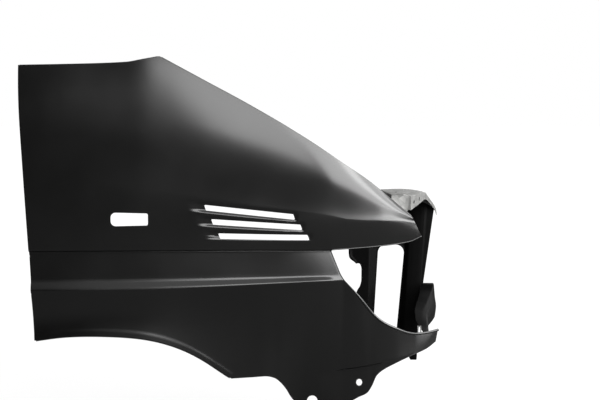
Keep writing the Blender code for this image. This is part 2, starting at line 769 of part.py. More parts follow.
# Brace that turns outwards behind the upper rear corner of the wall: (height, forward, out)
brace_shares = [(-0.055, 0.0, 1.0), (-0.107, 0.0, 1.0), (-0.155, 0.0, 1.0), (-0.187, 0.0, 0.95),
                (-0.206, 0.05, 0.80), (-0.2145, 0.30, 0.60), (-0.2226, 0.70, 0.35), (-0.231, 1.0, 0.12)]
brace_stand = 0.021
brace_lap = 0.031
brace_reach = 0.046
brace_bend = 0.012
bend_share = 0.3


def upper_wall_brace():
    bm = bmesh.new()
    face = wall_depth - seat_gap - rail_sheet
    wall_edge = wall_rear_shares[0][1] * wing_length
    rows = []
    for height, forward, out in brace_shares:
        z = height * wing_height
        rear = wall_edge - brace_stand * (1 - forward)
        reach = brace_reach * out
        bend = min(brace_bend, reach / 2)
        row = [Vector((rear, face - reach, z)), Vector((rear, face - bend, z)),
               Vector((rear + bend * bend_share, face - bend * bend_share, z)), Vector((rear + bend, face, z)),
               Vector((wall_edge + brace_lap, face, z))]
        rows.append([bm.verts.new(p) for p in row])
    skin_faces(bm, rows)
    brace = make_object("upper_wall_brace", bm, parts, inner_black)
    thicken(brace, rail_sheet)
    return brace


upper_wall_brace()


# Bar under the headlamp, from the sill to the wall: shares (along, depth, crease, tall, lip, rise)
bar_shares = [
    (0.9553, 0.972, -0.4095, 0.0290, 0.7, 0.1), (0.9563, 1.071, -0.3930, 0.0360, 1.0, 0.2),
    (0.9582, 1.179, -0.3790, 0.0430, 1.0, 0.35), (0.9654, 1.286, -0.3670, 0.0490, 1.0, 0.5),
    (0.9738, 1.375, -0.3570, 0.0540, 1.0, 0.65), (0.9827, 1.482, -0.3465, 0.0590, 1.0, 0.8),
    (0.9888, 1.571, -0.3375, 0.0630, 1.0, 1.0), (0.9894, 1.625, -0.3357, 0.0650, 1.0, 1.0),
]
bar_lap_stations = [1.82, 1.855, 1.89]
bar_lap_top = 0.16
bar_lap_low = 0.84
bar_lap_lip = 0.011
bar_stack = 1.6
bar_lip = 0.028
bar_rise = 0.036
bar_crease = 0.004
bar_crease_share = 0.45
bar_corner = 0.006
bar_tab = 0.048


def lower_front_bar(lower_point):
    bm = bmesh.new()
    path = []
    lap_step = bar_lap_stations[-1] - bar_lap_stations[0]
    for s in bar_lap_stations:
        top = lower_point(s, bar_lap_top)
        low = lower_point(s, bar_lap_low)
        ahead = top - lower_point(s - lap_step, bar_lap_top)
        inward = Vector((-ahead.y, ahead.x, 0)).normalized() * (sheet + seat_gap) * bar_stack
        path.append((top + inward, (top - low).length, bar_lap_lip, 0))
    for along, depth, height, tall, lip, rise in bar_shares:
        path.append((place(along, depth, height), tall * wing_height, bar_lip * lip, bar_rise * rise))
    last, tall, _, _ = path[-1]
    face = wall_depth - seat_gap
    path.append((Vector((last.x - bar_corner * bend_share, face - bar_corner * bend_share, last.z)), tall, 0, 0))
    path.append((Vector((last.x - bar_corner, face, last.z)), tall, 0, 0))
    path.append((Vector((last.x - bar_corner - bar_tab, face, last.z)), tall, 0, 0))
    columns = []
    for i, (top, tall, lip, rise) in enumerate(path):
        ahead = path[min(i + 1, len(path) - 1)][0] - path[max(i - 1, 0)][0]
        outward = Vector((ahead.y, -ahead.x, 0)).normalized()
        on_face = i < len(bar_lap_stations) or i > len(path) - 3
        bulge = 0 if on_face else bar_crease
        down = Vector((0, 0, -tall))
        edge = top - outward * lip + Vector((0, 0, rise))
        columns.append([edge, top, top + down * bar_crease_share + outward * bulge, top + down])
    rows = [[bm.verts.new(column[r]) for column in columns] for r in range(4)]
    skin_faces(bm, rows)
    bmesh.ops.remove_doubles(bm, verts=bm.verts, dist=sheet / 10)
    bar = make_object("lower_front_bar", bm, parts, inner_black)
    thicken(bar, rail_sheet)
    return bar


lower_front_bar(skin_point)


# Small upright clip for the headlamp on the flange of the sill
clip_station = 1.80
clip_width = 0.010
clip_height = 0.018
clip_wire = 0.0022
clip_deep = 0.007


def lamp_clip_bracket(lower_point):
    foot = lower_point(clip_station, 0)
    left = foot.x - lamp_flange / 4 - clip_width / 2
    low = foot.z + seat_gap * 2
    right = left + clip_width
    top = low + clip_height
    outline = [
        (left, low), (left, top), (right, top), (right, low), (right - clip_wire, low),
        (right - clip_wire, top - clip_wire), (left + clip_wire, top - clip_wire), (left + clip_wire, low),
    ]
    near = foot.y + lamp_flange / 4
    return outline_solid("lamp_clip_bracket", outline, near, near + clip_deep, parts, bright_steel)


lamp_clip_bracket(skin_point)
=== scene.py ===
# Van front wing in black primer with the zinc-coated and black panels of its headlamp bay.
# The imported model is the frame: +X to the front of the van, outer side towards -Y, +Z up.
import math

import bpy
import bmesh
import numpy as np
from mathutils import Matrix, Vector


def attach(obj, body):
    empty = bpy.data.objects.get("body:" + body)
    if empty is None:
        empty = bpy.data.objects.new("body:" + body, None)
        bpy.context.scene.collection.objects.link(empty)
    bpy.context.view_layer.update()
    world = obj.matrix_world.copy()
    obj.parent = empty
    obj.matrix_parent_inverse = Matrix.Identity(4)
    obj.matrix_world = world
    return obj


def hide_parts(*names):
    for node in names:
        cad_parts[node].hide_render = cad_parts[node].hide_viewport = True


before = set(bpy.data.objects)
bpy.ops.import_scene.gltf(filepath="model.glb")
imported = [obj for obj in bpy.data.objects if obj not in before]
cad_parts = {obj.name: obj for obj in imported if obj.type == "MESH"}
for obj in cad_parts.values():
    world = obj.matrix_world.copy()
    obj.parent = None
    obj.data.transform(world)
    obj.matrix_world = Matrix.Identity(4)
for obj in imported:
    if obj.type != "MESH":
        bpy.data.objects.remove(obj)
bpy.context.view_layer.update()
scene = bpy.context.scene
print("frame loaded:", sorted(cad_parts))

# Pressed skin: sizes in metres, outlines as shares of its length, depth and height
wing = {
    "length": 1.040, "depth": 0.280, "height": 0.840, "sheet": 0.0009,
    "doorTilt": math.radians(3.3), "doorFlange": 0.022, "bonnetFlange": 0.012, "bonnetDrop": 0.004,
    "hem": 0.007, "lampFlange": 0.010, "archFlange": 0.014, "bandStep": 0.009, "bandDrop": 0.003,
    "hollow": 0.006, "rimRise": 0.0010, "rimRamp": 0.010, "bulge": 0.014,
    "joggleDepth": 0.009, "joggleDrop": 0.010, "stripLimit": 0.6, "foldRadius": 0.0022, "doorFold": 0.0012,
    "lipRadius": 0.0026, "ridgeRadius": 0.0075, "rolledHem": 0.0014, "rolledLamp": 0.0034,
    "rolledStep": 0.003, "rolledRamp": 20, "bandFlange": 0.006, "bandTopBend": 0.0015, "bandFootBend": 0.008,
    "shelfShare": 0.55, "beakThin": 0.4, "hemRun": 0.1, "lowerBow": 0.5, "lampTurn": (-0.35, 1.0, -0.15),
    "creaseStart": 0.80, "creaseSpan": 0.45, "creaseBlunt": 0.035, "crownPower": (2.0, 1.25),
    "underPower": (1.6, 1.15), "peakWindow": 0.5, "peakSpread": 0.075, "peakReach": 0.2,
    "edgeSpan": 0.006, "sharpFold": math.radians(38),
    "upperRows": [(0, 0.004, 2), (0.01, 0.86, 31), (0.88, 1.86, 94), (1.88, 1.98, 6)],
    "bandRows": (0.08, 0.80, 10), "lowerRows": (0.10, 0.985, 36), "joggleSpan": [1.0, 1.1, 1.42, 1.55],
    "stripRows": [0, 0.2, 0.4, 0.6, 0.8, 1, 1.15, 1.3, 1.5, 1.7, 1.85, 2],
    "topEdge": [(-0.020, 0.082, 0.394), (0.084, 0.068, 0.396), (0.233, 0.057, 0.402),
                (0.270, 0.054, 0.410), (0.310, 0.054, 0.419)],
    "bonnetEdge": [(0.310, 0.054, 0.419), (0.404, 0.039, 0.356), (0.519, 0.032, 0.279),
                   (0.655, 0.046, 0.179), (0.740, 0.125, 0.108), (0.795, 0.235, 0.062),
                   (0.848, 0.352, 0.009), (0.901, 0.474, -0.045)],
    "shoulder": [(-0.002, -0.039, 0.091), (0.119, -0.043, 0.069), (0.296, -0.046, 0.037),
                 (0.404, -0.043, 0.020), (0.554, -0.025, -0.009), (0.704, 0.054, -0.036),
                 (0.747, 0.111, -0.048), (0.799, 0.196, -0.053), (0.848, 0.289, -0.055),
                 (0.910, 0.454, -0.066)],
    "step": [(0.006, -0.025, -0.138), (0.173, -0.029, -0.137), (0.403, -0.018, -0.136),
             (0.519, 0.011, -0.136), (0.604, 0.068, -0.138), (0.707, 0.182, -0.141)],
    "beakHem": [(0.707, 0.182, -0.141), (0.777, 0.289, -0.138), (0.845, 0.396, -0.133),
                (0.898, 0.479, -0.125), (0.928, 0.514, -0.110)],
    "bandFoot": [(0.008, -0.004, -0.225), (0.171, -0.007, -0.224), (0.403, 0.004, -0.221),
                 (0.518, 0.032, -0.219), (0.604, 0.089, -0.218), (0.705, 0.175, -0.217),
                 (0.729, 0.200, -0.212)],
    "ridge": [(0.011, -0.046, -0.251), (0.173, -0.050, -0.248), (0.403, -0.036, -0.240),
              (0.519, -0.007, -0.235), (0.604, 0.050, -0.232), (0.707, 0.150, -0.229),
              (0.738, 0.204, -0.230)],
    "lampEdge": [(1.00, 0.738, 0.204, -0.230), (1.14, 0.771, 0.254, -0.276), (1.34, 0.814, 0.368, -0.343),
                 (1.45, 0.841, 0.411, -0.369), (1.55, 0.866, 0.461, -0.385), (1.68, 0.897, 0.550, -0.403),
                 (1.77, 0.922, 0.657, -0.411), (1.85, 0.945, 0.754, -0.413), (2.00, 0.979, 0.896, -0.411)],
    "arch": [(0.00, 0.016, -0.029, -0.396), (0.10, 0.083, -0.039, -0.385), (0.23, 0.176, -0.046, -0.382),
             (0.33, 0.250, -0.046, -0.387), (0.41, 0.306, -0.039, -0.399), (0.51, 0.379, 0.004, -0.434),
             (0.59, 0.433, 0.075, -0.478), (0.66, 0.473, 0.168, -0.518)],
    "foot": [(0.66, 0.473, 0.168, -0.518), (0.71, 0.516, 0.239, -0.519), (0.75, 0.551, 0.275, -0.518),
             (0.78, 0.573, 0.311, -0.525), (0.81, 0.587, 0.339, -0.539), (0.84, 0.601, 0.382, -0.562),
             (0.87, 0.615, 0.432, -0.593), (0.90, 0.635, 0.479, -0.619), (0.95, 0.678, 0.496, -0.624),
             (1.00, 0.732, 0.504, -0.620), (1.12, 0.778, 0.496, -0.596), (1.20, 0.798, 0.489, -0.583),
             (1.28, 0.810, 0.482, -0.560), (1.36, 0.821, 0.468, -0.529), (1.55, 0.865, 0.496, -0.494),
             (1.76, 0.920, 0.621, -0.469), (1.87, 0.948, 0.739, -0.460), (2.00, 0.973, 0.875, -0.446)],
    "hemStrip": [(0.00, 0.023), (0.66, 0.023), (0.75, 0.018), (0.80, 0.026), (0.84, 0.060), (0.90, 0.118),
                 (1.00, 0.120), (1.20, 0.092), (1.36, 0.045), (1.55, 0.016), (1.70, 0.008), (2.00, 0.007)],
    "joggle": [(0.00, 0), (0.955, 0), (1.005, 1), (1.36, 1), (1.75, 0), (2.00, 0)],
    "joggleLine": [(0.708, -0.436), (0.888, -0.402)],
}
wingSize = [wing["length"], wing["depth"], wing["height"]]

louvre = {
    "count": 3, "x": 0.5390, "z": -0.0230, "pitchX": 0.0170, "pitchZ": -0.0300, "length": 0.2150,
    "height": 0.0130, "slant": 0.0055, "radius": 0.0020, "tilt": math.radians(6.2),
    "tiltStep": math.radians(2.35), "recess": 0.0045, "lip": [0.0070, 0.0070, 0.0030], "brow": 0.0100,
    "tail": 0.0420, "nose": 0.0120, "lipStart": 0.8,
}

skinHoles = {
    "repeaterX": 0.2505, "repeaterZ": -0.0396, "repeaterLength": 0.0895, "repeaterTall": 0.0330,
    "repeaterLow": 0.0288, "repeaterRadius": 0.0120, "repeaterSmallRadius": 0.0040,
    "bolt": (0.6907, -0.5072), "boltRadius": 0.0132, "peg": (0.8093, -0.4621), "pegWidth": 0.0150,
    "pegHeight": 0.0176, "reach": 0.30,
}

# Panels of the headlamp bay: metres, and shares of the skin's length, depth and height
bay = {"sheet": 0.0012, "gap": 0.0003, "bend": 0.0030, "sharpFold": math.radians(40)}

gutter = {
    "start": 0.60, "end": 0.893, "width": 0.044, "lip": 0.012, "seat": 0.003, "bendShare": 0.7,
    "innerShare": 0.9, "fallLimit": 1.4, "holes": [0.66, 0.74, 0.81], "holeShare": 0.6, "hole": 0.0045,
}

rail = {
    "sections": [(0.62, 0.856, 0.013, 0.904, 0.007, 1.00), (0.80, 0.845, 0.017, 0.925, 0.012, 0.83),
                 (1.05, 0.840, 0.019, 0.943, 0.013, 0.66), (1.30, 0.840, 0.017, 0.958, 0.006, 0.49),
                 (1.50, 0.845, 0.004, 0.972, -0.014, 0.38), (1.68, 0.854, -0.020, 0.992, -0.046, 0.35),
                 (1.77, 0.860, -0.034, 0.997, -0.060, 0.35)],
    "lap": 0.014, "overhang": 0.004, "crown": 0.002, "frontLip": 0.035, "rearLip": 0.010, "fold": 0.0050,
    "stack": 2.3, "lipRoom": 0.012, "seatRun": 1.15, "hole": 0.0050, "faceHoles": [0.70, 0.86],
    "faceHoleDown": 0.55, "faceReach": 0.012,
    "holes": [(0.75, 0.30), (1.00, 0.55), (1.35, 0.35), (1.55, 0.60)],
}

wall = {
    "depth": 1.6786, "lean": -0.179, "recess": 0.016, "fold": 0.003, "flange": 0.020, "front": 0.9742,
    "frontLean": 0.140, "room": 0.004, "step": 0.004, "reach": 0.06,
    "rear": [(-0.040, 0.7837), (-0.187, 0.7808), (-0.212, 0.7850), (-0.226, 0.7889), (-0.240, 0.7955),
             (-0.250, 0.7968), (-0.286, 0.7965), (-0.305, 0.7929), (-0.322, 0.7850), (-0.357, 0.7800),
             (-0.512, 0.7800)],
    "folds": [(0.8177, 0.010, 0), (0.8398, 0.055, 1), (0.9121, 0.090, 1), (0.9208, 0.053, 0.25),
              (0.9346, 0.055, 0.1), (0.9500, 0.057, 0), (0.9590, 0.057, 0), (0.9615, 0.075, 0.2)],
    "low": [(0.769, -0.501), (0.918, -0.501), (0.924, -0.549), (0.944, -0.549), (0.950, -0.482),
            (0.981, -0.476)],
    "slotLeft": (0.8419, 0.058), "slotRight": (0.9111, 0.090), "slotTop": -0.171, "slotLow": -0.467,
    "slotRadius": 0.022, "slotRim": 0.0022, "slotRimWidth": 0.007,
    "hole": 0.0045, "holes": [(-0.144, 0, 0.35), (-0.388, 0, 0.50), (-0.430, 1, 0.50)],
    "oval": (0.833, -0.479, 0.016, 0.008), "dish": (0.902, -0.084, 0.0185, 0.0026), "dishEdge": 0.005,
}

brace = {
    "outline": [(-0.055, 0.0, 1.0), (-0.107, 0.0, 1.0), (-0.155, 0.0, 1.0), (-0.187, 0.0, 0.95),
                (-0.206, 0.05, 0.80), (-0.2145, 0.30, 0.60), (-0.2226, 0.70, 0.35), (-0.231, 1.0, 0.12)],
    "stand": 0.021, "lap": 0.031, "reach": 0.046, "bend": 0.012,
}

bar = {
    "path": [(0.9553, 0.972, -0.4095, 0.0290, 0.7, 0.1), (0.9563, 1.071, -0.3930, 0.0360, 1.0, 0.2),
             (0.9582, 1.179, -0.3790, 0.0430, 1.0, 0.35), (0.9654, 1.286, -0.3670, 0.0490, 1.0, 0.5),
             (0.9738, 1.375, -0.3570, 0.0540, 1.0, 0.65), (0.9827, 1.482, -0.3465, 0.0590, 1.0, 0.8),
             (0.9888, 1.571, -0.3375, 0.0630, 1.0, 1.0), (0.9894, 1.625, -0.3357, 0.0650, 1.0, 1.0)],
    "lap": [1.82, 1.855, 1.89], "lapTop": 0.16, "lapLow": 0.84, "lapLip": 0.011, "stack": 1.6,
    "lip": 0.028, "rise": 0.036, "lipGrowth": 0.35, "crease": 0.004, "creaseShare": 0.45, "creaseBend": 0.012,
    "topBend": 0.004, "corner": 0.006, "tab": 0.048, "leanShare": 0.5, "standShare": 0.42,
}
wallY = wall["depth"] * wing["depth"]


def shapeCurve(stations, values):
    # cubic through the values that never overshoots them
    x, y = np.asarray(stations, float), np.asarray(values, float)
    h = np.diff(x)
    slope = np.diff(y) / h
    tangent = np.zeros_like(y)
    for i in range(1, len(x) - 1):
        if slope[i - 1] * slope[i] > 0:
            a, b = 2 * h[i] + h[i - 1], h[i] + 2 * h[i - 1]
            tangent[i] = (a + b) / (a / slope[i - 1] + b / slope[i])
    tangent[0], tangent[-1] = slope[0], slope[-1]

    def at(s):
        s = np.asarray(s, float)
        i = np.clip(np.searchsorted(x, s) - 1, 0, len(h) - 1)
        t = (s - x[i]) / h[i]
        return (y[i] * (2 * t**3 - 3 * t**2 + 1) + tangent[i] * h[i] * (t**3 - 2 * t**2 + t)
                + y[i + 1] * (3 * t**2 - 2 * t**3) + tangent[i + 1] * h[i] * (t**3 - t**2))

    return at


def fairCurve(stations, values):
    # natural cubic, for depths that have to reflect without a kink
    x, y = np.asarray(stations, float), np.asarray(values, float)
    h = np.diff(x)
    n = len(x)
    system, right = np.eye(n), np.zeros(n)
    for i in range(1, n - 1):
        system[i, i - 1:i + 2] = h[i - 1], 2 * (h[i - 1] + h[i]), h[i]
        right[i] = 6 * ((y[i + 1] - y[i]) / h[i] - (y[i] - y[i - 1]) / h[i - 1])
    bend = np.linalg.solve(system, right)

    def at(s):
        s = np.asarray(s, float)
        i = np.clip(np.searchsorted(x, s) - 1, 0, n - 2)
        a, b = x[i + 1] - s, s - x[i]
        return ((bend[i] * a**3 + bend[i + 1] * b**3) / (6 * h[i])
                + (y[i] / h[i] - bend[i] * h[i] / 6) * a + (y[i + 1] / h[i] - bend[i + 1] * h[i] / 6) * b)

    return at


def onDoorEdge(points):
    # the rear edge is one straight tilted line
    points[..., 0] = -points[..., 2] * math.tan(wing["doorTilt"])
    return points


def lineByLength(name, fromDoor=True):
    points = np.array(wing[name]) * wingSize
    if fromDoor:
        points[0] = onDoorEdge(points[0])
    depth, height = fairCurve(points[:, 0], points[:, 1]), shapeCurve(points[:, 0], points[:, 2])
    return points[0, 0], points[-1, 0], lambda x: np.stack([x, depth(x), height(x)], -1)


def lineByStation(name, curve):
    table = np.array(wing[name])
    points = table[:, 1:] * wingSize
    if table[0, 0] == 0:
        points[0] = onDoorEdge(points[0])
    axes = [curve(table[:, 0], points[:, i]) for i in range(3)]
    return lambda s: np.stack([axis(s) for axis in axes], -1)


def eased(t):
    t = np.clip(t, 0, 1)
    return t * t * (3 - 2 * t)


def bowed(v):
    # share of the depth at a share of the way down the lower panel
    return v + wing["lowerBow"] * v * (1 - v)


def louvrePlace(i):
    # middle and tilt of one slot
    return (louvre["x"] + i * louvre["pitchX"], louvre["z"] + i * louvre["pitchZ"],
            louvre["tilt"] - i * louvre["tiltStep"])


def louvreRelief(x, z):
    # how far the skin is pressed in: a lip that faces up below each slot, a brow that faces down above it
    depth = np.zeros_like(x)
    for i in range(louvre["count"]):
        cx, cz, tilt = louvrePlace(i)
        dx, dz = x - cx, z - cz
        run = dx * math.cos(tilt) - dz * math.sin(tilt)
        rise = dx * math.sin(tilt) + dz * math.cos(tilt)
        past = np.abs(run) - louvre["length"] / 2
        ends = eased(1 - past / np.where(run < 0, louvre["tail"], louvre["nose"]))
        half = louvre["height"] / 2
        width = np.where(rise < 0, louvre["lip"][i], louvre["brow"])
        share = np.clip(1 - (np.abs(rise) - half * louvre["lipStart"]) / width, 0, 1)
        share = (share + eased(share)) / 2
        size = np.where(rise < 0, min(louvre["lip"][i] / louvre["lip"][0], 1), 1)
        size = 1 - (1 - size) * eased(0.5 - rise / louvre["height"])
        depth = np.maximum(depth, ends * louvre["recess"] * share * size)
    return depth


def makeMesh(name, grids, material):
    # grids share points by position, so the joined sheet is welded afterwards
    mesh = bpy.data.meshes.new(name)
    points, faces = [], []
    for grid in grids:
        rows, columns = grid.shape[:2]
        first = len(points)
        points.extend(grid.reshape(-1, 3).tolist())
        for r in range(rows - 1):
            for c in range(columns - 1):
                a = first + r * columns + c
                faces.append((a, a + columns, a + columns + 1, a + 1))
    mesh.from_pydata(points, [], faces)
    bm = bmesh.new()
    bm.from_mesh(mesh)
    bmesh.ops.remove_doubles(bm, verts=bm.verts, dist=2e-6)
    bm.to_mesh(mesh)
    bm.free()
    made = bpy.data.objects.new(name, mesh)
    scene.collection.objects.link(made)
    mesh.materials.append(material)
    return made


def foldStrip(edge, inside, radius, depth, steps=4):
    # flange turned inwards along an edge: edge and inside are rows of points
    along = np.gradient(edge, axis=0)
    along /= np.linalg.norm(along, axis=1, keepdims=True)
    out = edge - inside
    out -= (out * along).sum(1, keepdims=True) * along
    out /= np.linalg.norm(out, axis=1, keepdims=True)
    normal = np.cross(along, out)
    normal *= np.sign(normal[:, 1:2])
    rows = [edge]
    for k in range(1, steps + 1):
        a = math.pi / 2 * k / steps
        rows.append(edge + out * radius * math.sin(a) + normal * radius * (1 - math.cos(a)))
    rows.append(rows[-1] + normal * depth)
    return np.array(rows)


def filletRows(back, corner, ahead, radius, steps=5):
    # rounds the corner of each section between two neighbouring points
    toBack, toAhead = back - corner, ahead - corner
    lenBack = np.linalg.norm(toBack, axis=-1, keepdims=True)
    lenAhead = np.linalg.norm(toAhead, axis=-1, keepdims=True)
    cut = np.minimum(radius, 0.45 * np.minimum(lenBack, lenAhead))
    first, last = corner + toBack / lenBack * cut, corner + toAhead / lenAhead * cut
    ts = np.linspace(0, 1, steps)
    return [first * (1 - t) ** 2 + 2 * corner * t * (1 - t) + last * t * t for t in ts]


def buildSkin():
    topStart, _, topEdge = lineByLength("topEdge")
    peakX, bonnetEnd, bonnetEdge = lineByLength("bonnetEdge", False)
    shoulderStart, shoulderEnd, shoulder = lineByLength("shoulder")
    stepStart, cornerX, stepLine = lineByLength("step")
    _, hemEnd, beakHem = lineByLength("beakHem", False)
    footStart, footEnd, bandFoot = lineByLength("bandFoot")
    ridgeStart, ridgeEnd, ridge = lineByLength("ridge")
    lampEdge = lineByStation("lampEdge", fairCurve)
    arch, foot = lineByStation("arch", fairCurve), lineByStation("foot", shapeCurve)
    table = np.array(wing["hemStrip"])
    hemStrip = shapeCurve(table[:, 0], table[:, 1] * wing["height"])

    peak = (peakX - topStart) / (cornerX - topStart)
    archEnd = wing["arch"][-1][0]
    # columns lie close where the form is tight: start, end and count of each span
    before, past, edgeSpan = peak - wing["edgeSpan"], peak + wing["edgeSpan"], wing["edgeSpan"]
    spans = [(0, edgeSpan, 2), (edgeSpan, before, 28), (before, past, 4), (past, 0.53, 8),
             (0.53, archEnd, 22), (archEnd, 0.95, 60), (0.95, 1, 8), (1, 2, 66)]
    stations = np.concatenate([np.linspace(a, b, n, endpoint=False) for a, b, n in spans] + [[2.0]])
    corner = int(np.searchsorted(stations, 1 - 1e-9))
    peakAt = int(np.searchsorted(stations, peak - 1e-9))
    archCount = int(np.searchsorted(stations, archEnd + 1e-9))
    rear, front, behind = stations[:corner + 1], stations[corner:], stations <= 1

    def across(start, end):
        ahead = cornerX + (end - cornerX) * (front - 1)
        return np.concatenate([start + (cornerX - start) * rear, ahead[1:]])

    def joined(at, limit, first, second):
        # the first line up to the limit, the second one past it
        early = (at <= limit + 1e-9)[:, None]
        return np.where(early, first(np.minimum(at, limit)), second(np.maximum(at, limit)))

    topX = across(topStart, bonnetEnd)
    edge = joined(topX, peakX, topEdge, bonnetEdge)
    mid = shoulder(across(shoulderStart, shoulderEnd))
    low = joined(across(stepStart, hemEnd), cornerX, stepLine, beakHem)

    # the crown runs smoothly past the peak: its depth is one curve, its height a rounded peak
    both = np.array(wing["topEdge"] + wing["bonnetEdge"][1:])[:, :2] * wingSize[:2]
    edge[:, 1] = fairCurve(*both.T)(topX)
    fine = np.linspace(peakX - wing["peakWindow"], peakX + wing["peakWindow"], 1001)
    spread = np.exp(-np.square(np.arange(-180, 181) * (fine[1] - fine[0]) / wing["peakSpread"]))
    rounded = np.convolve(np.interp(fine, topX, edge[:, 2]), spread / spread.sum(), "same")
    nearPeak = eased(1.5 - np.abs(topX - peakX) / wing["peakReach"])
    crownTop = edge[:, 2] * (1 - nearPeak) + np.interp(topX, fine, rounded) * nearPeak
    stretch = (edge[:, 2] - mid[:, 2]) / (crownTop - mid[:, 2])

    # the shoulder is soft beside the door and a rounded crease at the beak
    crease = eased((stations - wing["creaseStart"]) / wing["creaseSpan"])
    powers, blunt = (wing["crownPower"], wing["underPower"]), wing["creaseBlunt"]
    above, below = [soft + (sharp - soft) * crease for soft, sharp in powers]

    def upperRow(v):
        reach = (math.hypot(v - 1, blunt) - blunt) / (math.hypot(1, blunt) - blunt)
        away = abs(v - 1) * (1 - crease) * (stretch if v < 1 else 1) + reach * crease
        if v <= 1:
            point = edge + (mid - edge) * v
            point[:, 1] = (mid[:, 1] + (edge[:, 1] - mid[:, 1]) * away**above
                           - wing["bulge"] * np.sin(math.pi * (1 - v) * stretch) * (1 - v) * stretch)
        else:
            point = mid + (low - mid) * (v - 1)
            point[:, 1] = mid[:, 1] + (low[:, 1] - mid[:, 1]) * away**below
        return point

    lowerTop = joined(stations, 1, lambda s: ridge(ridgeStart + (ridgeEnd - ridgeStart) * s), lampEdge)
    lowerLow = joined(stations, archEnd, arch, foot)
    limit = wing["stripLimit"]
    stripStart = 1 - np.minimum(hemStrip(stations) / np.linalg.norm(lowerTop - lowerLow, axis=1), limit)
    # the tab is set back along one straight crease
    (creaseX, creaseZ), (creaseEndX, creaseEndZ) = wing["joggleLine"]
    climb = (creaseEndZ - creaseZ) / (creaseEndX - creaseX)
    span = lowerLow - lowerTop
    overLine = lowerTop[:, 2] - creaseZ - (lowerTop[:, 0] - creaseX) * climb
    straight = overLine / (climb * span[:, 0] - span[:, 2])
    onLine = eased(np.interp(stations, wing["joggleSpan"], [0, 1, 1, 0]))
    stripStart = stripStart * (1 - onLine) + straight * onLine
    setBack = np.interp(stations, *np.array(wing["joggle"]).T)
    drop = wing["rimRamp"] + (wing["joggleDrop"] - wing["rimRamp"]) * setBack
    foldShare = np.minimum(drop / hemStrip(stations), limit)

    def lowerRow(v):
        v = np.broadcast_to(np.asarray(v, float), stations.shape)
        point = lowerTop + (lowerLow - lowerTop) * v[:, None]
        point[:, 1] = lowerTop[:, 1] + (lowerLow[:, 1] - lowerTop[:, 1]) * bowed(v)
        point[:, 1] += wing["hollow"] * np.sin(math.pi * v) * np.clip(1 - stations, 0, 1)
        return point

    # upper panel, its rounded lip and the return under it
    upper = [upperRow(v) for steps in wing["upperRows"] for v in np.linspace(*steps)]
    for row in upper:
        row[:, 1] += louvreRelief(row[:, 0], row[:, 2])
    lip = upperRow(2.0)
    deep, thin = wing["bandStep"], wing["bandStep"] * wing["beakThin"]
    inset = np.where(behind, deep - (deep - thin) * np.clip(stations, 0, 1)**4,
                     thin + (wing["hem"] - thin) * eased((stations - 1) / wing["hemRun"]))
    under = lip + np.stack([0 * inset, inset, np.where(behind, -wing["bandDrop"], 0)], -1)
    upper += filletRows(upper[-1], lip, under, wing["lipRadius"])
    upper += [lip + (under - lip) * t for t in (0.62, 0.8)] + [under]
    upper = np.array(upper)

    # recessed band and the shelf that slopes out to the ridge
    n = corner + 1
    bandLow = bandFoot(footStart + (footEnd - footStart) * rear)
    crest = lowerRow(0)
    shelf = bandLow + (crest[:n] - bandLow) * wing["shelfShare"]
    bandTop = under[:n]
    band = [bandTop] + filletRows(bandTop * 0.5 + lip[:n] * 0.5, bandTop, bandLow, wing["bandTopBend"], 4)[2:]
    band += [bandTop + (bandLow - bandTop) * t for t in np.linspace(*wing["bandRows"])]
    band += filletRows(band[-1], bandLow, shelf, wing["bandFootBend"], 7)
    band = np.array(band + [shelf])

    # lower panel with the ridge's crest, the strip beside the arch and the bumper tab
    lampTurn = np.array(wing["lampTurn"])
    flangeEnd = crest + lampTurn / np.linalg.norm(lampTurn) * wing["lampFlange"]
    start = np.where(behind[:, None], np.vstack([shelf, flangeEnd[n:]]), flangeEnd)
    firstDown = lowerRow(wing["lowerRows"][0])
    radius = np.where(behind, wing["ridgeRadius"], wing["foldRadius"])[:, None]
    lower = [start] + filletRows(start, crest, firstDown, radius, 9)
    lower += [lowerRow(v * stripStart) for v in np.linspace(*wing["lowerRows"])]
    rise = np.where(stations <= archEnd + 1e-9, -wing["rimRise"], wing["joggleDepth"] * setBack)
    for w in wing["stripRows"]:
        share = foldShare * min(w, 1) + (1 - foldShare) * max(w - 1, 0)
        row = lowerRow(stripStart + (1 - stripStart) * share)
        row[:, 1] += rise * eased(w)
        lower.append(row)
    lower = np.array(lower)
    for grid, first, last in ((upper, 2, -4), (band, 4, -2), (lower, 10, -1)):
        onDoorEdge(grid[:, 0])
        grid[first:last, 0, 0] += wing["doorFold"]

    rim = np.vstack([lip[corner:][::-1], band[:, -1], crest[corner:]])
    small, large = wing["doorFold"], wing["foldRadius"]
    folds = [(upper[2:-4, 0], upper[2:-4, 1], small, wing["doorFlange"]),
             (band[4:-2, 0], band[4:-2, 1], small, wing["doorFlange"] / 2),
             (lower[10:-1, 0], lower[10:-1, 1], small, wing["doorFlange"]),
             (upper[0, 2:peakAt - 1], upper[1, 2:peakAt - 1], small, wing["bonnetFlange"]),
             (upper[0, peakAt + 2:], upper[1, peakAt + 2:], small, wing["bonnetFlange"]),
             (lower[-1, 2:archCount - 1], lower[-2, 2:archCount - 1], large, wing["archFlange"]),
             (band[:, -1], band[:, -2], large, wing["bandFlange"])]
    strips = [foldStrip(*fold) for fold in folds]
    # the door's and the bonnet edge's flanges are wound the other way
    strips[:5] = [strip[:, ::-1] for strip in strips[:5]]

    def skinPoint(s, v):
        # one point on the lower panel in front of the lamp corner
        top, low = lampEdge(s), foot(s)
        point = top + (low - top) * v
        point[1] = top[1] + (low[1] - top[1]) * bowed(v)
        return point

    return [upper, band, lower] + strips, rim, skinPoint


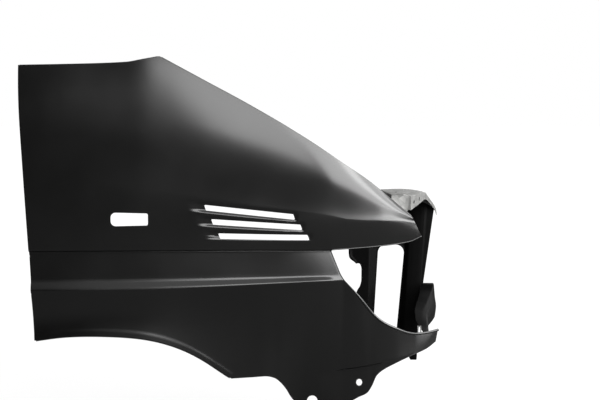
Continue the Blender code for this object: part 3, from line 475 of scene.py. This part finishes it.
def faceOutward(made):
    bm = bmesh.new()
    bm.from_mesh(made.data)
    bmesh.ops.recalc_face_normals(bm, faces=bm.faces)
    if sum(face.normal.y * face.calc_area() for face in bm.faces) > 0:
        bmesh.ops.reverse_faces(bm, faces=bm.faces)
    bm.to_mesh(made.data)
    bm.free()


def applyModifiers(made):
    depsgraph = bpy.context.evaluated_depsgraph_get()
    depsgraph.update()
    mesh = bpy.data.meshes.new_from_object(made.evaluated_get(depsgraph))
    old = made.data
    made.modifiers.clear()
    made.data = mesh
    bpy.data.meshes.remove(old)


def roundedOutline(corners, steps=8):
    # corners are (x, z, radius) going round once
    points = []
    for i, (x, z, radius) in enumerate(corners):
        here = Vector((x, z))
        back = (Vector(corners[i - 1][:2]) - here).normalized()
        ahead = (Vector(corners[(i + 1) % len(corners)][:2]) - here).normalized()
        half = back.angle(ahead) / 2
        centre = here + (back + ahead).normalized() * (radius / math.sin(half))
        first = here + back * (radius / math.tan(half)) - centre
        last = here + ahead * (radius / math.tan(half)) - centre
        turn = first.angle_signed(last)
        for k in range(steps + 1):
            a = -turn * k / steps
            points.append(centre + Vector((first.x * math.cos(a) - first.y * math.sin(a),
                                           first.x * math.sin(a) + first.y * math.cos(a))))
    return points


def ovalOutline(x, z, width, height, steps=40):
    turns = [math.tau * k / steps for k in range(steps)]
    return [Vector((x + width / 2 * math.cos(a), z + height / 2 * math.sin(a))) for a in turns]


def addPrism(bm, outline, near, far, turn=Matrix()):
    front = [bm.verts.new(turn @ Vector((p.x, near, p.y))) for p in outline]
    back = [bm.verts.new(turn @ Vector((p.x, far, p.y))) for p in outline]
    bm.faces.new(front)
    bm.faces.new(back[::-1])
    for i in range(len(front)):
        j = (i + 1) % len(front)
        bm.faces.new((front[j], front[i], back[i], back[j]))


def cutHoles(made, prisms):
    bm = bmesh.new()
    for prism in prisms:
        addPrism(bm, *prism)
    bmesh.ops.recalc_face_normals(bm, faces=bm.faces)
    mesh = bpy.data.meshes.new("cutters")
    bm.to_mesh(mesh)
    bm.free()
    cutter = bpy.data.objects.new("cutters", mesh)
    scene.collection.objects.link(cutter)
    cut = made.modifiers.new("holes", "BOOLEAN")
    cut.operation, cut.object, cut.solver = "DIFFERENCE", cutter, "EXACT"
    applyModifiers(made)
    bpy.data.objects.remove(cutter)
    bpy.data.meshes.remove(mesh)


def roundHole(spot, radius, turn, half=0.02):
    # drilled through at a spot, along the axis that the turn brings Y to
    return ovalOutline(0, 0, radius * 2, radius * 2, 32), -half, half, Matrix.Translation(spot) @ turn


def evenPath(points, spacing, passes):
    # the same path with even steps and its kinks eased
    run = np.concatenate([[0], np.cumsum(np.linalg.norm(np.diff(points, axis=0), axis=1))])
    at = np.linspace(0, run[-1], int(run[-1] / spacing) + 1)
    path = np.stack([np.interp(at, run, points[:, i]) for i in range(3)], -1)
    for _ in range(passes):
        path[1:-1] = (path[:-2] + 2 * path[1:-1] + path[2:]) / 4
    return path


def addTube(made, path, radii, sides=10):
    # rolled edge joined to the piece
    bm = bmesh.new()
    bm.from_mesh(made.data)
    along = np.gradient(path, axis=0)
    along /= np.linalg.norm(along, axis=1, keepdims=True)
    side = np.array([0.0, 0.3, 1.0])
    rings = []
    for point, ahead, radius in zip(path, along, np.broadcast_to(radii, len(path))):
        side = side - ahead * (side @ ahead)
        side /= np.linalg.norm(side)
        other = np.cross(ahead, side)
        rings.append([bm.verts.new(point + radius * (math.cos(a) * side + math.sin(a) * other))
                      for a in np.arange(sides) * math.tau / sides])
    for first, second in zip(rings, rings[1:]):
        for k in range(sides):
            bm.faces.new((first[k - 1], first[k], second[k], second[k - 1]))
    bm.faces.new(rings[0][::-1])
    bm.faces.new(rings[-1])
    for face in bm.faces:
        face.smooth = True
    bm.to_mesh(made.data)
    bm.free()


def thicken(made, thickness, prisms, sharpFold):
    # the sheet's thickness and holes
    made.data.shade_smooth()
    thick = made.modifiers.new("sheet", "SOLIDIFY")
    thick.thickness, thick.offset, thick.use_even_offset = thickness, -1, False
    applyModifiers(made)
    if prisms:
        cutHoles(made, prisms)
    made.data.set_sharp_from_angle(angle=sharpFold)


def bayPanel(name, grid, material, node, prisms=()):
    made = makeMesh(name, [grid], material)
    thicken(made, bay["sheet"], prisms, bay["sharpFold"])
    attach(made, "root")
    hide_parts(node)
    print(name + ":", len(made.data.polygons), "faces")


_, _, bonnetLine = lineByLength("bonnetEdge", False)


def stacked(x, thickness):
    # height that a sheet and its seat take up where the bonnet edge slopes
    run = wing["bonnetFlange"]
    slope = (bonnetLine(x)[..., 2] - bonnetLine(x - run)[..., 2]) / run
    return (thickness + bay["gap"]) * np.sqrt(1 + slope**2 + (wing["bonnetDrop"] / run) ** 2)


def gutterTop(x, inboard):
    x = np.asarray(x, float)
    fall = wing["bonnetDrop"] * min(inboard / wing["bonnetFlange"], gutter["fallLimit"])
    point = bonnetLine(x)
    point[..., 1] += inboard
    point[..., 2] -= fall + stacked(x, wing["sheet"])
    return point


def buildGutter():
    x = np.linspace(gutter["start"], gutter["end"], 110) * wing["length"]
    width = gutter["width"]
    outer, top = gutterTop(x, width), gutterTop(x, width * gutter["bendShare"])
    lip = outer - [0, 0, gutter["lip"]]
    rows = [lip] + filletRows(lip, outer, top, bay["bend"])
    rows += [gutterTop(x, w) for w in np.linspace(width * gutter["innerShare"], gutter["seat"], 14)]
    upright = Matrix.Rotation(math.pi / 2, 4, "X")
    spots = [gutterTop(share * wing["length"], width * gutter["holeShare"]) for share in gutter["holes"]]
    holes = [roundHole(Vector(spot), gutter["hole"], upright) for spot in spots]
    bayPanel("zincGutter", np.array(rows), brightZinc, "bonnet_gutter", holes)


railTable = np.array(rail["sections"])
railCurves = [fairCurve(railTable[:, 0], railTable[:, i]) for i in range(1, 6)]


def railTop(depth, across):
    rearX, rearZ, frontX, frontZ, _ = [curve(depth) for curve in railCurves]
    x = rearX + (frontX - rearX) * across
    z = (rearZ - (rearZ - frontZ) * across**4) * wing["height"] + rail["crown"] * np.sin(math.pi * across)
    return np.stack(np.broadcast_arrays(x * wing["length"], depth * wing["depth"], z), -1)


def buildRail():
    depths = np.linspace(railTable[-1, 0], railTable[0, 0], 90)
    room = np.clip((wallY - depths * wing["depth"]) / rail["lipRoom"] - 1, 0, 1)
    down = np.array([0, 0, -1.0])
    spans = np.linspace(0, 1, 41)
    tops = [railTop(depths, t) for t in spans]
    rear = tops[0] + down * (rail["rearLip"] * room + 1e-5)[:, None]
    lip = (rail["frontLip"] * railCurves[-1](depths))[:, None]
    front = tops[-1] + down * lip
    columns = [rear] + filletRows(rear, tops[0], tops[3], bay["bend"]) + tops[1:-2]
    columns += filletRows(tops[-3], tops[-1], front, rail["fold"], 7)
    columns += [tops[-1] + down * lip * t for t in (0.35, 0.55, 0.8, 1)]
    section = np.stack(columns, 1)

    # the end of the section runs down onto the gutter
    last = section[-1]
    share = (last[:, 0] - last[0, 0]) / (last[:, 0].max() - last[0, 0])
    seatX = last[0, 0] + (gutter["end"] * wing["length"] - last[0, 0]) * np.clip(share, 0, 1)

    def seat(inboard):
        point = gutterTop(seatX, inboard)
        point[:, 2] += stacked(seatX, bay["sheet"])
        return point

    edge, inner = seat(gutter["width"] + rail["overhang"]), seat(gutter["width"] - rail["lap"])
    fall = last[:, 2:] - np.array([railTop(railTable[0, 0], t)[2] for t in np.clip(share, 0, 1)])[:, None]
    rows = list(section)
    for t in np.linspace(0, 1, 15)[1:]:
        row = last + (edge - last) * t
        drop = eased(t)
        row[:, 2:] = (last[:, 2:] - fall) * (1 - drop) + edge[:, 2:] * drop
        row[:, 2:] += fall * (1 - eased(t * rail["seatRun"]))
        rows.append(row)
    rows += [edge + (inner - edge) * t for t in (0.3, 0.65, 1)]
    upright, sideways = Matrix.Rotation(math.pi / 2, 4, "X"), Matrix.Rotation(math.pi / 2, 4, "Z")
    holes = [roundHole(Vector(railTop(d, t)), rail["hole"], upright) for d, t in rail["holes"]]
    for d in rail["faceHoles"]:
        spot = railTop(d, 1.0) + down * rail["frontLip"] * railCurves[-1](d) * rail["faceHoleDown"]
        holes.append(roundHole(Vector(spot), rail["hole"], sideways, rail["faceReach"]))
    bayPanel("archedRail", np.array(rows), brightZinc, "lamp_top_rail", holes)


def underRail(x, y):
    depth = y / wing["depth"]
    rear, front = railTop(depth, 0.0), railTop(depth, 1.0)
    across = np.clip((x - rear[..., 0]) / (front[..., 0] - rear[..., 0]), 0, 1)
    return railTop(depth, across)[..., 2] - rail["stack"] * (bay["sheet"] + bay["gap"])


def slotOutline():
    # corners of the wall's slot with the room that its radius takes
    long, tall = wing["length"], wing["height"]
    corners = []
    for (x, lean), z in ((wall["slotLeft"], wall["slotTop"]), (wall["slotRight"], wall["slotTop"]),
                         (wall["slotRight"], wall["slotLow"]), (wall["slotLeft"], wall["slotLow"])):
        corners.append((x * long + lean * (z - wall["lean"]) * tall, z * tall, wall["slotRadius"]))
    return roundedOutline(corners, 12)


def outlineDistance(x, z, outline):
    # distance from each point to a closed outline, with its sign lost
    best = np.full(x.shape, 1.0)
    for p, q in zip(outline, outline[1:] + outline[:1]):
        run = np.array([q.x - p.x, q.y - p.y])
        t = np.clip(((x - p.x) * run[0] + (z - p.y) * run[1]) / max(run @ run, 1e-12), 0, 1)
        best = np.minimum(best, np.hypot(x - p.x - t * run[0], z - p.y - t * run[1]))
    return best


def buildWall():
    long, tall = wing["length"], wing["height"]
    rearZ, rearX = np.array(wall["rear"])[::-1].T
    rearAt = shapeCurve(rearZ * tall, rearX * long)
    z = np.linspace(rearZ[-1], rearZ[0], 170) * tall

    def folds(z):
        rise = z - wall["lean"] * tall
        bends = [along * long + lean * rise for along, lean, _ in wall["folds"]]
        nose = np.maximum(wall["front"] * long + wall["frontLean"] * rise, bends[-1] + wall["room"])
        return [np.minimum(rearAt(z), bends[0] - wall["room"])] + bends + [nose]

    xs = folds(z)
    depths = [0] + [deep * wall["recess"] for _, _, deep in wall["folds"]] + [wall["fold"]]
    marks = [np.stack([x, np.full_like(z, wallY + depth), z], -1) for x, depth in zip(xs, depths)]
    marks.append(marks[-1] + [0, wall["flange"], 0])
    columns = [marks[0]]
    for i in range(1, len(marks) - 1):
        rounded = filletRows(marks[i - 1], marks[i], marks[i + 1], bay["bend"], 6)
        gap = np.linalg.norm(rounded[0] - columns[-1], axis=-1).max()
        count = max(int(gap / wall["step"]), 1)
        start = columns[-1]
        columns += [start + (rounded[0] - start) * t for t in np.linspace(0, 1, count + 1)[1:-1]] + rounded
    columns.append(marks[-1])
    grid = np.stack(columns, 1)
    x, z = grid[..., 0], grid[..., 2]
    dishX, dishZ, dishRadius, dishDeep = wall["dish"]
    dish = eased((dishRadius - np.hypot(x - dishX, z - dishZ)) / wall["dishEdge"])
    rim = eased(1 - outlineDistance(x, z, slotOutline()) / wall["slotRimWidth"])
    grid[..., 1] += dishDeep * dish - wall["slotRim"] * rim
    grid[0, :, 2] = underRail(grid[0, :, 0], grid[0, :, 1])
    lowX, lowZ = np.array(wall["low"]).T
    grid[-1, :, 2] = np.interp(grid[-1, :, 0], lowX * long, lowZ * tall)
    near, far = wallY - wall["reach"], wallY + wall["reach"]
    holes = [(slotOutline(), near, far)]
    ox, oz, width, height = wall["oval"]
    holes.append((ovalOutline(ox * long, oz * tall, width, height), near, far))
    for share, strip, across in wall["holes"]:
        at = folds(np.array([share * tall]))
        left, right = at[strip][0], at[strip + 1][0]
        size = wall["hole"] * 2
        holes.append((ovalOutline(left + (right - left) * across, share * tall, size, size), near, far))
    bayPanel("lampWall", grid, innerBlack, "lamp_inner_wall", holes)


def buildBrace():
    face = wallY - bay["gap"] - bay["sheet"]
    wallEdge = wall["rear"][0][1] * wing["length"]
    table = np.array(brace["outline"])[::-1]
    heights = np.linspace(table[-1, 0], table[0, 0], 70)
    forward, out = [shapeCurve(table[:, 0], table[:, i])(heights) for i in (1, 2)]
    z = heights * wing["height"]
    rear = wallEdge - brace["stand"] * (1 - forward)
    reach = brace["reach"] * out
    bend = np.minimum(brace["bend"], reach / 2)
    columns = [np.stack([rear, face - reach, z], -1)]
    columns += [np.stack([rear + bend * (1 - math.cos(a)), face - bend * (1 - math.sin(a)), z], -1)
                for a in np.linspace(0, math.pi / 2, 12)]
    columns.append(np.stack([np.full_like(z, wallEdge + brace["lap"]), np.full_like(z, face), z], -1))
    bayPanel("wallBrace", np.stack(columns, 1), innerBlack, "upper_wall_brace")


def buildBar(skinPoint):
    step = bar["lap"][-1] - bar["lap"][0]
    path = []
    for s in bar["lap"]:
        top, low = skinPoint(s, bar["lapTop"]), skinPoint(s, bar["lapLow"])
        ahead = top - skinPoint(s - step, bar["lapTop"])
        inward = np.array([-ahead[1], ahead[0], 0]) / math.hypot(ahead[0], ahead[1])
        inward *= (wing["sheet"] + bay["gap"]) * bar["stack"]
        path.append((*(top + inward), np.linalg.norm(top - low), bar["lapLip"], 0, 0))
    for along, depth, height, tall, lip, rise in bar["path"]:
        path.append((along * wing["length"], depth * wing["depth"], height * wing["height"],
                     tall * wing["height"], bar["lip"] * lip, bar["rise"] * rise, bar["crease"]))
    path = np.array(path)
    run = np.concatenate([[0], np.cumsum(np.linalg.norm(np.diff(path[:, :3], axis=0), axis=1))])
    fine = np.linspace(0, run[-1], 90)
    smooth = np.stack([shapeCurve(run, path[:, i])(fine) for i in range(7)], -1)
    last, face = smooth[-1], wallY - bay["gap"]
    corner = bar["corner"]
    turned = []
    for k in range(1, 8):
        a, left = math.pi / 2 * k / 7, 1 - k / 7
        turned.append((last[0] - corner * (1 - math.cos(a)), last[1] + (face - last[1]) * math.sin(a),
                       last[2], last[3], last[4] * left**2, last[5] * left**2, last[6] * left))
    turned.append((last[0] - corner - bar["tab"], face, last[2], last[3], 0, 0, 0))
    path = np.vstack([smooth, turned])
    ahead = np.gradient(path[:, :3], axis=0)
    outward = np.stack([ahead[:, 1], -ahead[:, 0], 0 * ahead[:, 0]], -1)
    outward /= np.linalg.norm(outward, axis=1, keepdims=True)
    top = path[:, :3]
    down = np.stack([0 * top[:, 0], 0 * top[:, 0], -path[:, 3]], -1)
    stand = path[:, 5:6] / bar["rise"]
    edge = top - outward * path[:, 4:5] * (1 + bar["lipGrowth"] * stand)
    edge[:, 2] += path[:, 5] + 1e-5
    middle = top + down * bar["creaseShare"] + outward * path[:, 6:7]
    low = top + down
    # above the crease it stands upright at the wall and lies over at the sill
    corner = edge + (top - edge) * (bar["leanShare"] + bar["standShare"] * stand)
    corner[:, 2] = edge[:, 2] * stand[:, 0] + corner[:, 2] * (1 - stand[:, 0])
    rows = [edge] + filletRows(edge, corner, top, bar["topBend"], 6)
    rows += filletRows(corner, top, middle, bar["topBend"], 7)
    rows += filletRows(top, middle, low, bar["creaseBend"], 9) + [low]
    bayPanel("lowerBar", np.array(rows), innerBlack, "lower_front_bar")


def skinCutters():
    h = skinHoles
    x, z, half = h["repeaterX"], h["repeaterZ"], h["repeaterLength"] / 2
    tall, low = h["repeaterTall"] / 2, h["repeaterLow"] / 2
    big, small = h["repeaterRadius"], h["repeaterSmallRadius"]
    outlines = [roundedOutline([(x - half, z + tall, big), (x + half, z + low, small),
                                (x + half, z - low, small), (x - half, z - tall, big)])]
    for i in range(louvre["count"]):
        cx, cz, tilt = louvrePlace(i)
        reach, rise, lean = louvre["length"] / 2, louvre["height"] / 2, louvre["slant"] / 2
        ends = (-reach - lean, rise), (reach - lean, rise), (reach + lean, -rise), (lean - reach, -rise)
        corners = []
        for a, b in ends:
            corners.append((cx + a * math.cos(tilt) + b * math.sin(tilt),
                            cz - a * math.sin(tilt) + b * math.cos(tilt), louvre["radius"]))
        outlines.append(roundedOutline(corners, 4))
    outlines.append(ovalOutline(*h["bolt"], h["boltRadius"] * 2, h["boltRadius"] * 2))
    outlines.append(ovalOutline(*h["peg"], h["pegWidth"], h["pegHeight"]))
    return [(outline, -h["reach"], h["reach"]) for outline in outlines]


# Finishes: plain numbers that belong to each one
finishes = {
    "primer": {"colour": (0.0009, 0.0009, 0.0008), "roughness": (0.20, 0.27), "specular": 0.7,
               "grain": 900, "bump": 0.010, "patch": 5, "tones": [(0.3, 0.86), (0.75, 1.14)]},
    "inner": {"colour": (0.0012, 0.0012, 0.0012), "roughness": (0.42, 0.58), "specular": 0.06,
              "grain": 420, "bump": 0.030, "patch": 14, "tones": [(0.3, 0.86), (0.75, 1.14)]},
    "zinc": {"colour": (0.21, 0.21, 0.205), "roughness": (0.64, 0.84), "spangle": 70, "bump": 0.02,
             "tones": [(0, 0.80), (1, 1.12)]},
}


def addNode(tree, kind, values=None):
    node = tree.nodes.new("ShaderNode" + kind)
    for name, value in (values or {}).items():
        node.inputs[name].default_value = value
    return node


def addRange(tree, source, came, goes, smooth=False):
    # turns the range that came in into the one that goes on
    node = addNode(tree, "MapRange", dict(zip(("From Min", "From Max", "To Min", "To Max"), (*came, *goes))))
    node.interpolation_type = "SMOOTHSTEP" if smooth else "LINEAR"
    tree.links.new(source, node.inputs["Value"])
    return node.outputs["Result"]


def newMaterial(name):
    material = bpy.data.materials.new(name)
    material.use_nodes = True
    return material, material.node_tree, material.node_tree.nodes["Principled BSDF"]


def addSurface(tree, shader, f, sheen, tone, height):
    # roughness, colour and bump from three patterns; tones are the ramp's places and shares of the colour
    ramp = addNode(tree, "ValToRGB")
    for element, (place, share) in zip(ramp.color_ramp.elements, f["tones"]):
        element.position, element.color = place, (*[c * share for c in f["colour"]], 1)
    bump = addNode(tree, "Bump", {"Strength": f["bump"], "Distance": 0.001})
    tree.links.new(tone, ramp.inputs["Fac"])
    tree.links.new(height, bump.inputs["Height"])
    tree.links.new(sheen, shader.inputs["Roughness"])
    tree.links.new(ramp.outputs["Color"], shader.inputs["Base Color"])
    tree.links.new(bump.outputs["Normal"], shader.inputs["Normal"])


def paintMaterial(name, f):
    # dipped primer: slow patches of sheen over a very fine orange peel
    material, tree, shader = newMaterial(name)
    shader.inputs["Specular IOR Level"].default_value = f["specular"]
    place = addNode(tree, "TexCoord")
    patch = addNode(tree, "TexNoise", {"Scale": f["patch"], "Detail": 4})
    grain = addNode(tree, "TexNoise", {"Scale": f["grain"], "Detail": 2})
    for noise in (patch, grain):
        tree.links.new(place.outputs["Object"], noise.inputs["Vector"])
    sheen = addRange(tree, patch.outputs["Fac"], (0.3, 0.7), f["roughness"])
    addSurface(tree, shader, f, sheen, patch.outputs["Fac"], grain.outputs["Fac"])
    return material


def zincMaterial(name, f):
    # hot-dipped zinc with its crystal spangle
    material, tree, shader = newMaterial(name)
    shader.inputs["Metallic"].default_value = 1
    place = addNode(tree, "TexCoord")
    spangle = addNode(tree, "TexVoronoi", {"Scale": f["spangle"]})
    split = addNode(tree, "SeparateColor")
    tree.links.new(place.outputs["Object"], spangle.inputs["Vector"])
    tree.links.new(spangle.outputs["Color"], split.inputs["Color"])
    red, green, blue = split.outputs
    addSurface(tree, shader, f, addRange(tree, red, (0, 1), f["roughness"]), green, blue)
    return material


primerBlack = paintMaterial("primerBlack", finishes["primer"])
innerBlack = paintMaterial("innerBlack", finishes["inner"])
brightZinc = zincMaterial("brightZinc", finishes["zinc"])
print("finishes ready")

skinGrids, rim, skinPoint = buildSkin()
skin = makeMesh("pressedSkin", skinGrids, primerBlack)
faceOutward(skin)
thicken(skin, wing["sheet"], skinCutters(), wing["sharpFold"])
rolled = evenPath(rim, wing["rolledStep"], 3)
lampShare = eased((np.arange(len(rolled)) - len(rolled) / 2) / wing["rolledRamp"])
addTube(skin, rolled, wing["rolledHem"] + (wing["rolledLamp"] - wing["rolledHem"]) * lampShare)
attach(skin, "root")
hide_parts("wing_skin")
print("skin:", len(skin.data.polygons), "faces")

buildGutter()
buildRail()
buildWall()
buildBrace()
buildBar(skinPoint)
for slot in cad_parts["lamp_clip_bracket"].material_slots:
    slot.material = brightZinc
print("lamp bay dressed")

# Studio: a broad softbox beside the nose, weaker ones by the camera and at the side, and a small low one
# for the beak's lower face; name, azimuth, elevation, distance, width, height and power of each
studio = {
    "floorZ": -0.532, "floorSize": 400, "floorColour": (0.12, 0.12, 0.12), "floorRoughness": 0.9,
    "floorLift": (0.88, 1.0), "floorFade": (1.0, 4.2), "whiteTowards": (0.95, 0.30, 0.0),
    "gradient": (-0.46, -0.20), "brightness": (0.01, 1.0),
    "boxes": [("noseSoftbox", 60, 22, 2.6, 2.4, 2.4, 112), ("cameraSoftbox", 12, 28, 3.0, 1.7, 2.0, 48),
              ("sideSoftbox", 96, 20, 2.6, 2.2, 1.9, 60), ("beakSoftbox", 70, -9, 1.62, 0.42, 0.48, 4.2)],
    "target": (0.55, 0.10, 0.0),
    "cameraAt": (0.660, -3.350, 0.1939), "cameraPitch": 3.2, "lens": 83.76,
}


def addSoftbox(name, azimuth, elevation, distance, width, height, power):
    # azimuth from the camera's side towards the van's front
    lamp = bpy.data.lights.new(name, "AREA")
    lamp.shape, lamp.size, lamp.size_y, lamp.energy = "RECTANGLE", width, height, power
    holder = bpy.data.objects.new(name, lamp)
    a, e = math.radians(azimuth), math.radians(elevation)
    towards = Vector((math.sin(a) * math.cos(e), -math.cos(a) * math.cos(e), math.sin(e)))
    holder.location = Vector(studio["target"]) + towards * distance
    holder.rotation_euler = towards.to_track_quat("Z", "Y").to_euler()
    scene.collection.objects.link(holder)


def addMeasure(tree, operation, place):
    # a number from a place: its length, or how far it lies along a direction
    node = addNode(tree, "VectorMath")
    node.operation = operation
    tree.links.new(addNode(tree, "TexCoord").outputs[place], node.inputs[0])
    return node


def forCamera(tree, value, operation):
    # the camera sees something else than the reflections do
    seen = addNode(tree, "Math")
    seen.operation = operation
    tree.links.new(value, seen.inputs[0])
    tree.links.new(addNode(tree, "LightPath").outputs["Is Camera Ray"], seen.inputs[1])
    return seen.outputs["Value"]


def whiteSurround():
    # white to the camera, and from the front of the van; dim at the camera's side
    world = bpy.data.worlds.new("studioAir")
    scene.world = world
    world.use_nodes = True
    tree = world.node_tree
    facing = addMeasure(tree, "DOT_PRODUCT", "Generated")
    facing.inputs[1].default_value = studio["whiteTowards"]
    level = addRange(tree, facing.outputs["Value"], studio["gradient"], studio["brightness"], True)
    tree.links.new(forCamera(tree, level, "MAXIMUM"), tree.nodes["Background"].inputs["Color"])


def paleFloor():
    # keeps the shadow, and rises to the backdrop's white with the distance
    mesh = bpy.data.meshes.new("studioFloor")
    half, z = studio["floorSize"] / 2, studio["floorZ"]
    corners = [(x * half, y * half, z) for x, y in ((-1, -1), (1, -1), (1, 1), (-1, 1))]
    mesh.from_pydata(corners, [], [(0, 1, 2, 3)])
    floor = bpy.data.objects.new("studioFloor", mesh)
    scene.collection.objects.link(floor)
    material, tree, shader = newMaterial("paleFloor")
    shader.inputs["Base Color"].default_value = (*studio["floorColour"], 1)
    shader.inputs["Roughness"].default_value = studio["floorRoughness"]
    shader.inputs["Specular IOR Level"].default_value = 0
    lift = addNode(tree, "Emission", {"Color": (1, 1, 1, 1)})
    away = addMeasure(tree, "LENGTH", "Object")
    rising = addRange(tree, away.outputs["Value"], studio["floorFade"], studio["floorLift"], True)
    tree.links.new(forCamera(tree, rising, "MULTIPLY"), lift.inputs["Strength"])
    both = addNode(tree, "AddShader")
    tree.links.new(shader.outputs["BSDF"], both.inputs[0])
    tree.links.new(lift.outputs["Emission"], both.inputs[1])
    tree.links.new(both.outputs["Shader"], tree.nodes["Material Output"].inputs["Surface"])
    mesh.materials.append(material)


def addCamera():
    lens = bpy.data.cameras.new("photoCamera")
    lens.lens, lens.sensor_width, lens.sensor_fit = studio["lens"], 36, "HORIZONTAL"
    camera = bpy.data.objects.new("photoCamera", lens)
    camera.location = studio["cameraAt"]
    camera.rotation_euler = (math.radians(90 - studio["cameraPitch"]), 0, 0)
    scene.collection.objects.link(camera)
    scene.camera = camera


for box in studio["boxes"]:
    addSoftbox(*box)
whiteSurround()
paleFloor()
addCamera()
scene.view_settings.view_transform = "Standard"
print("studio ready")
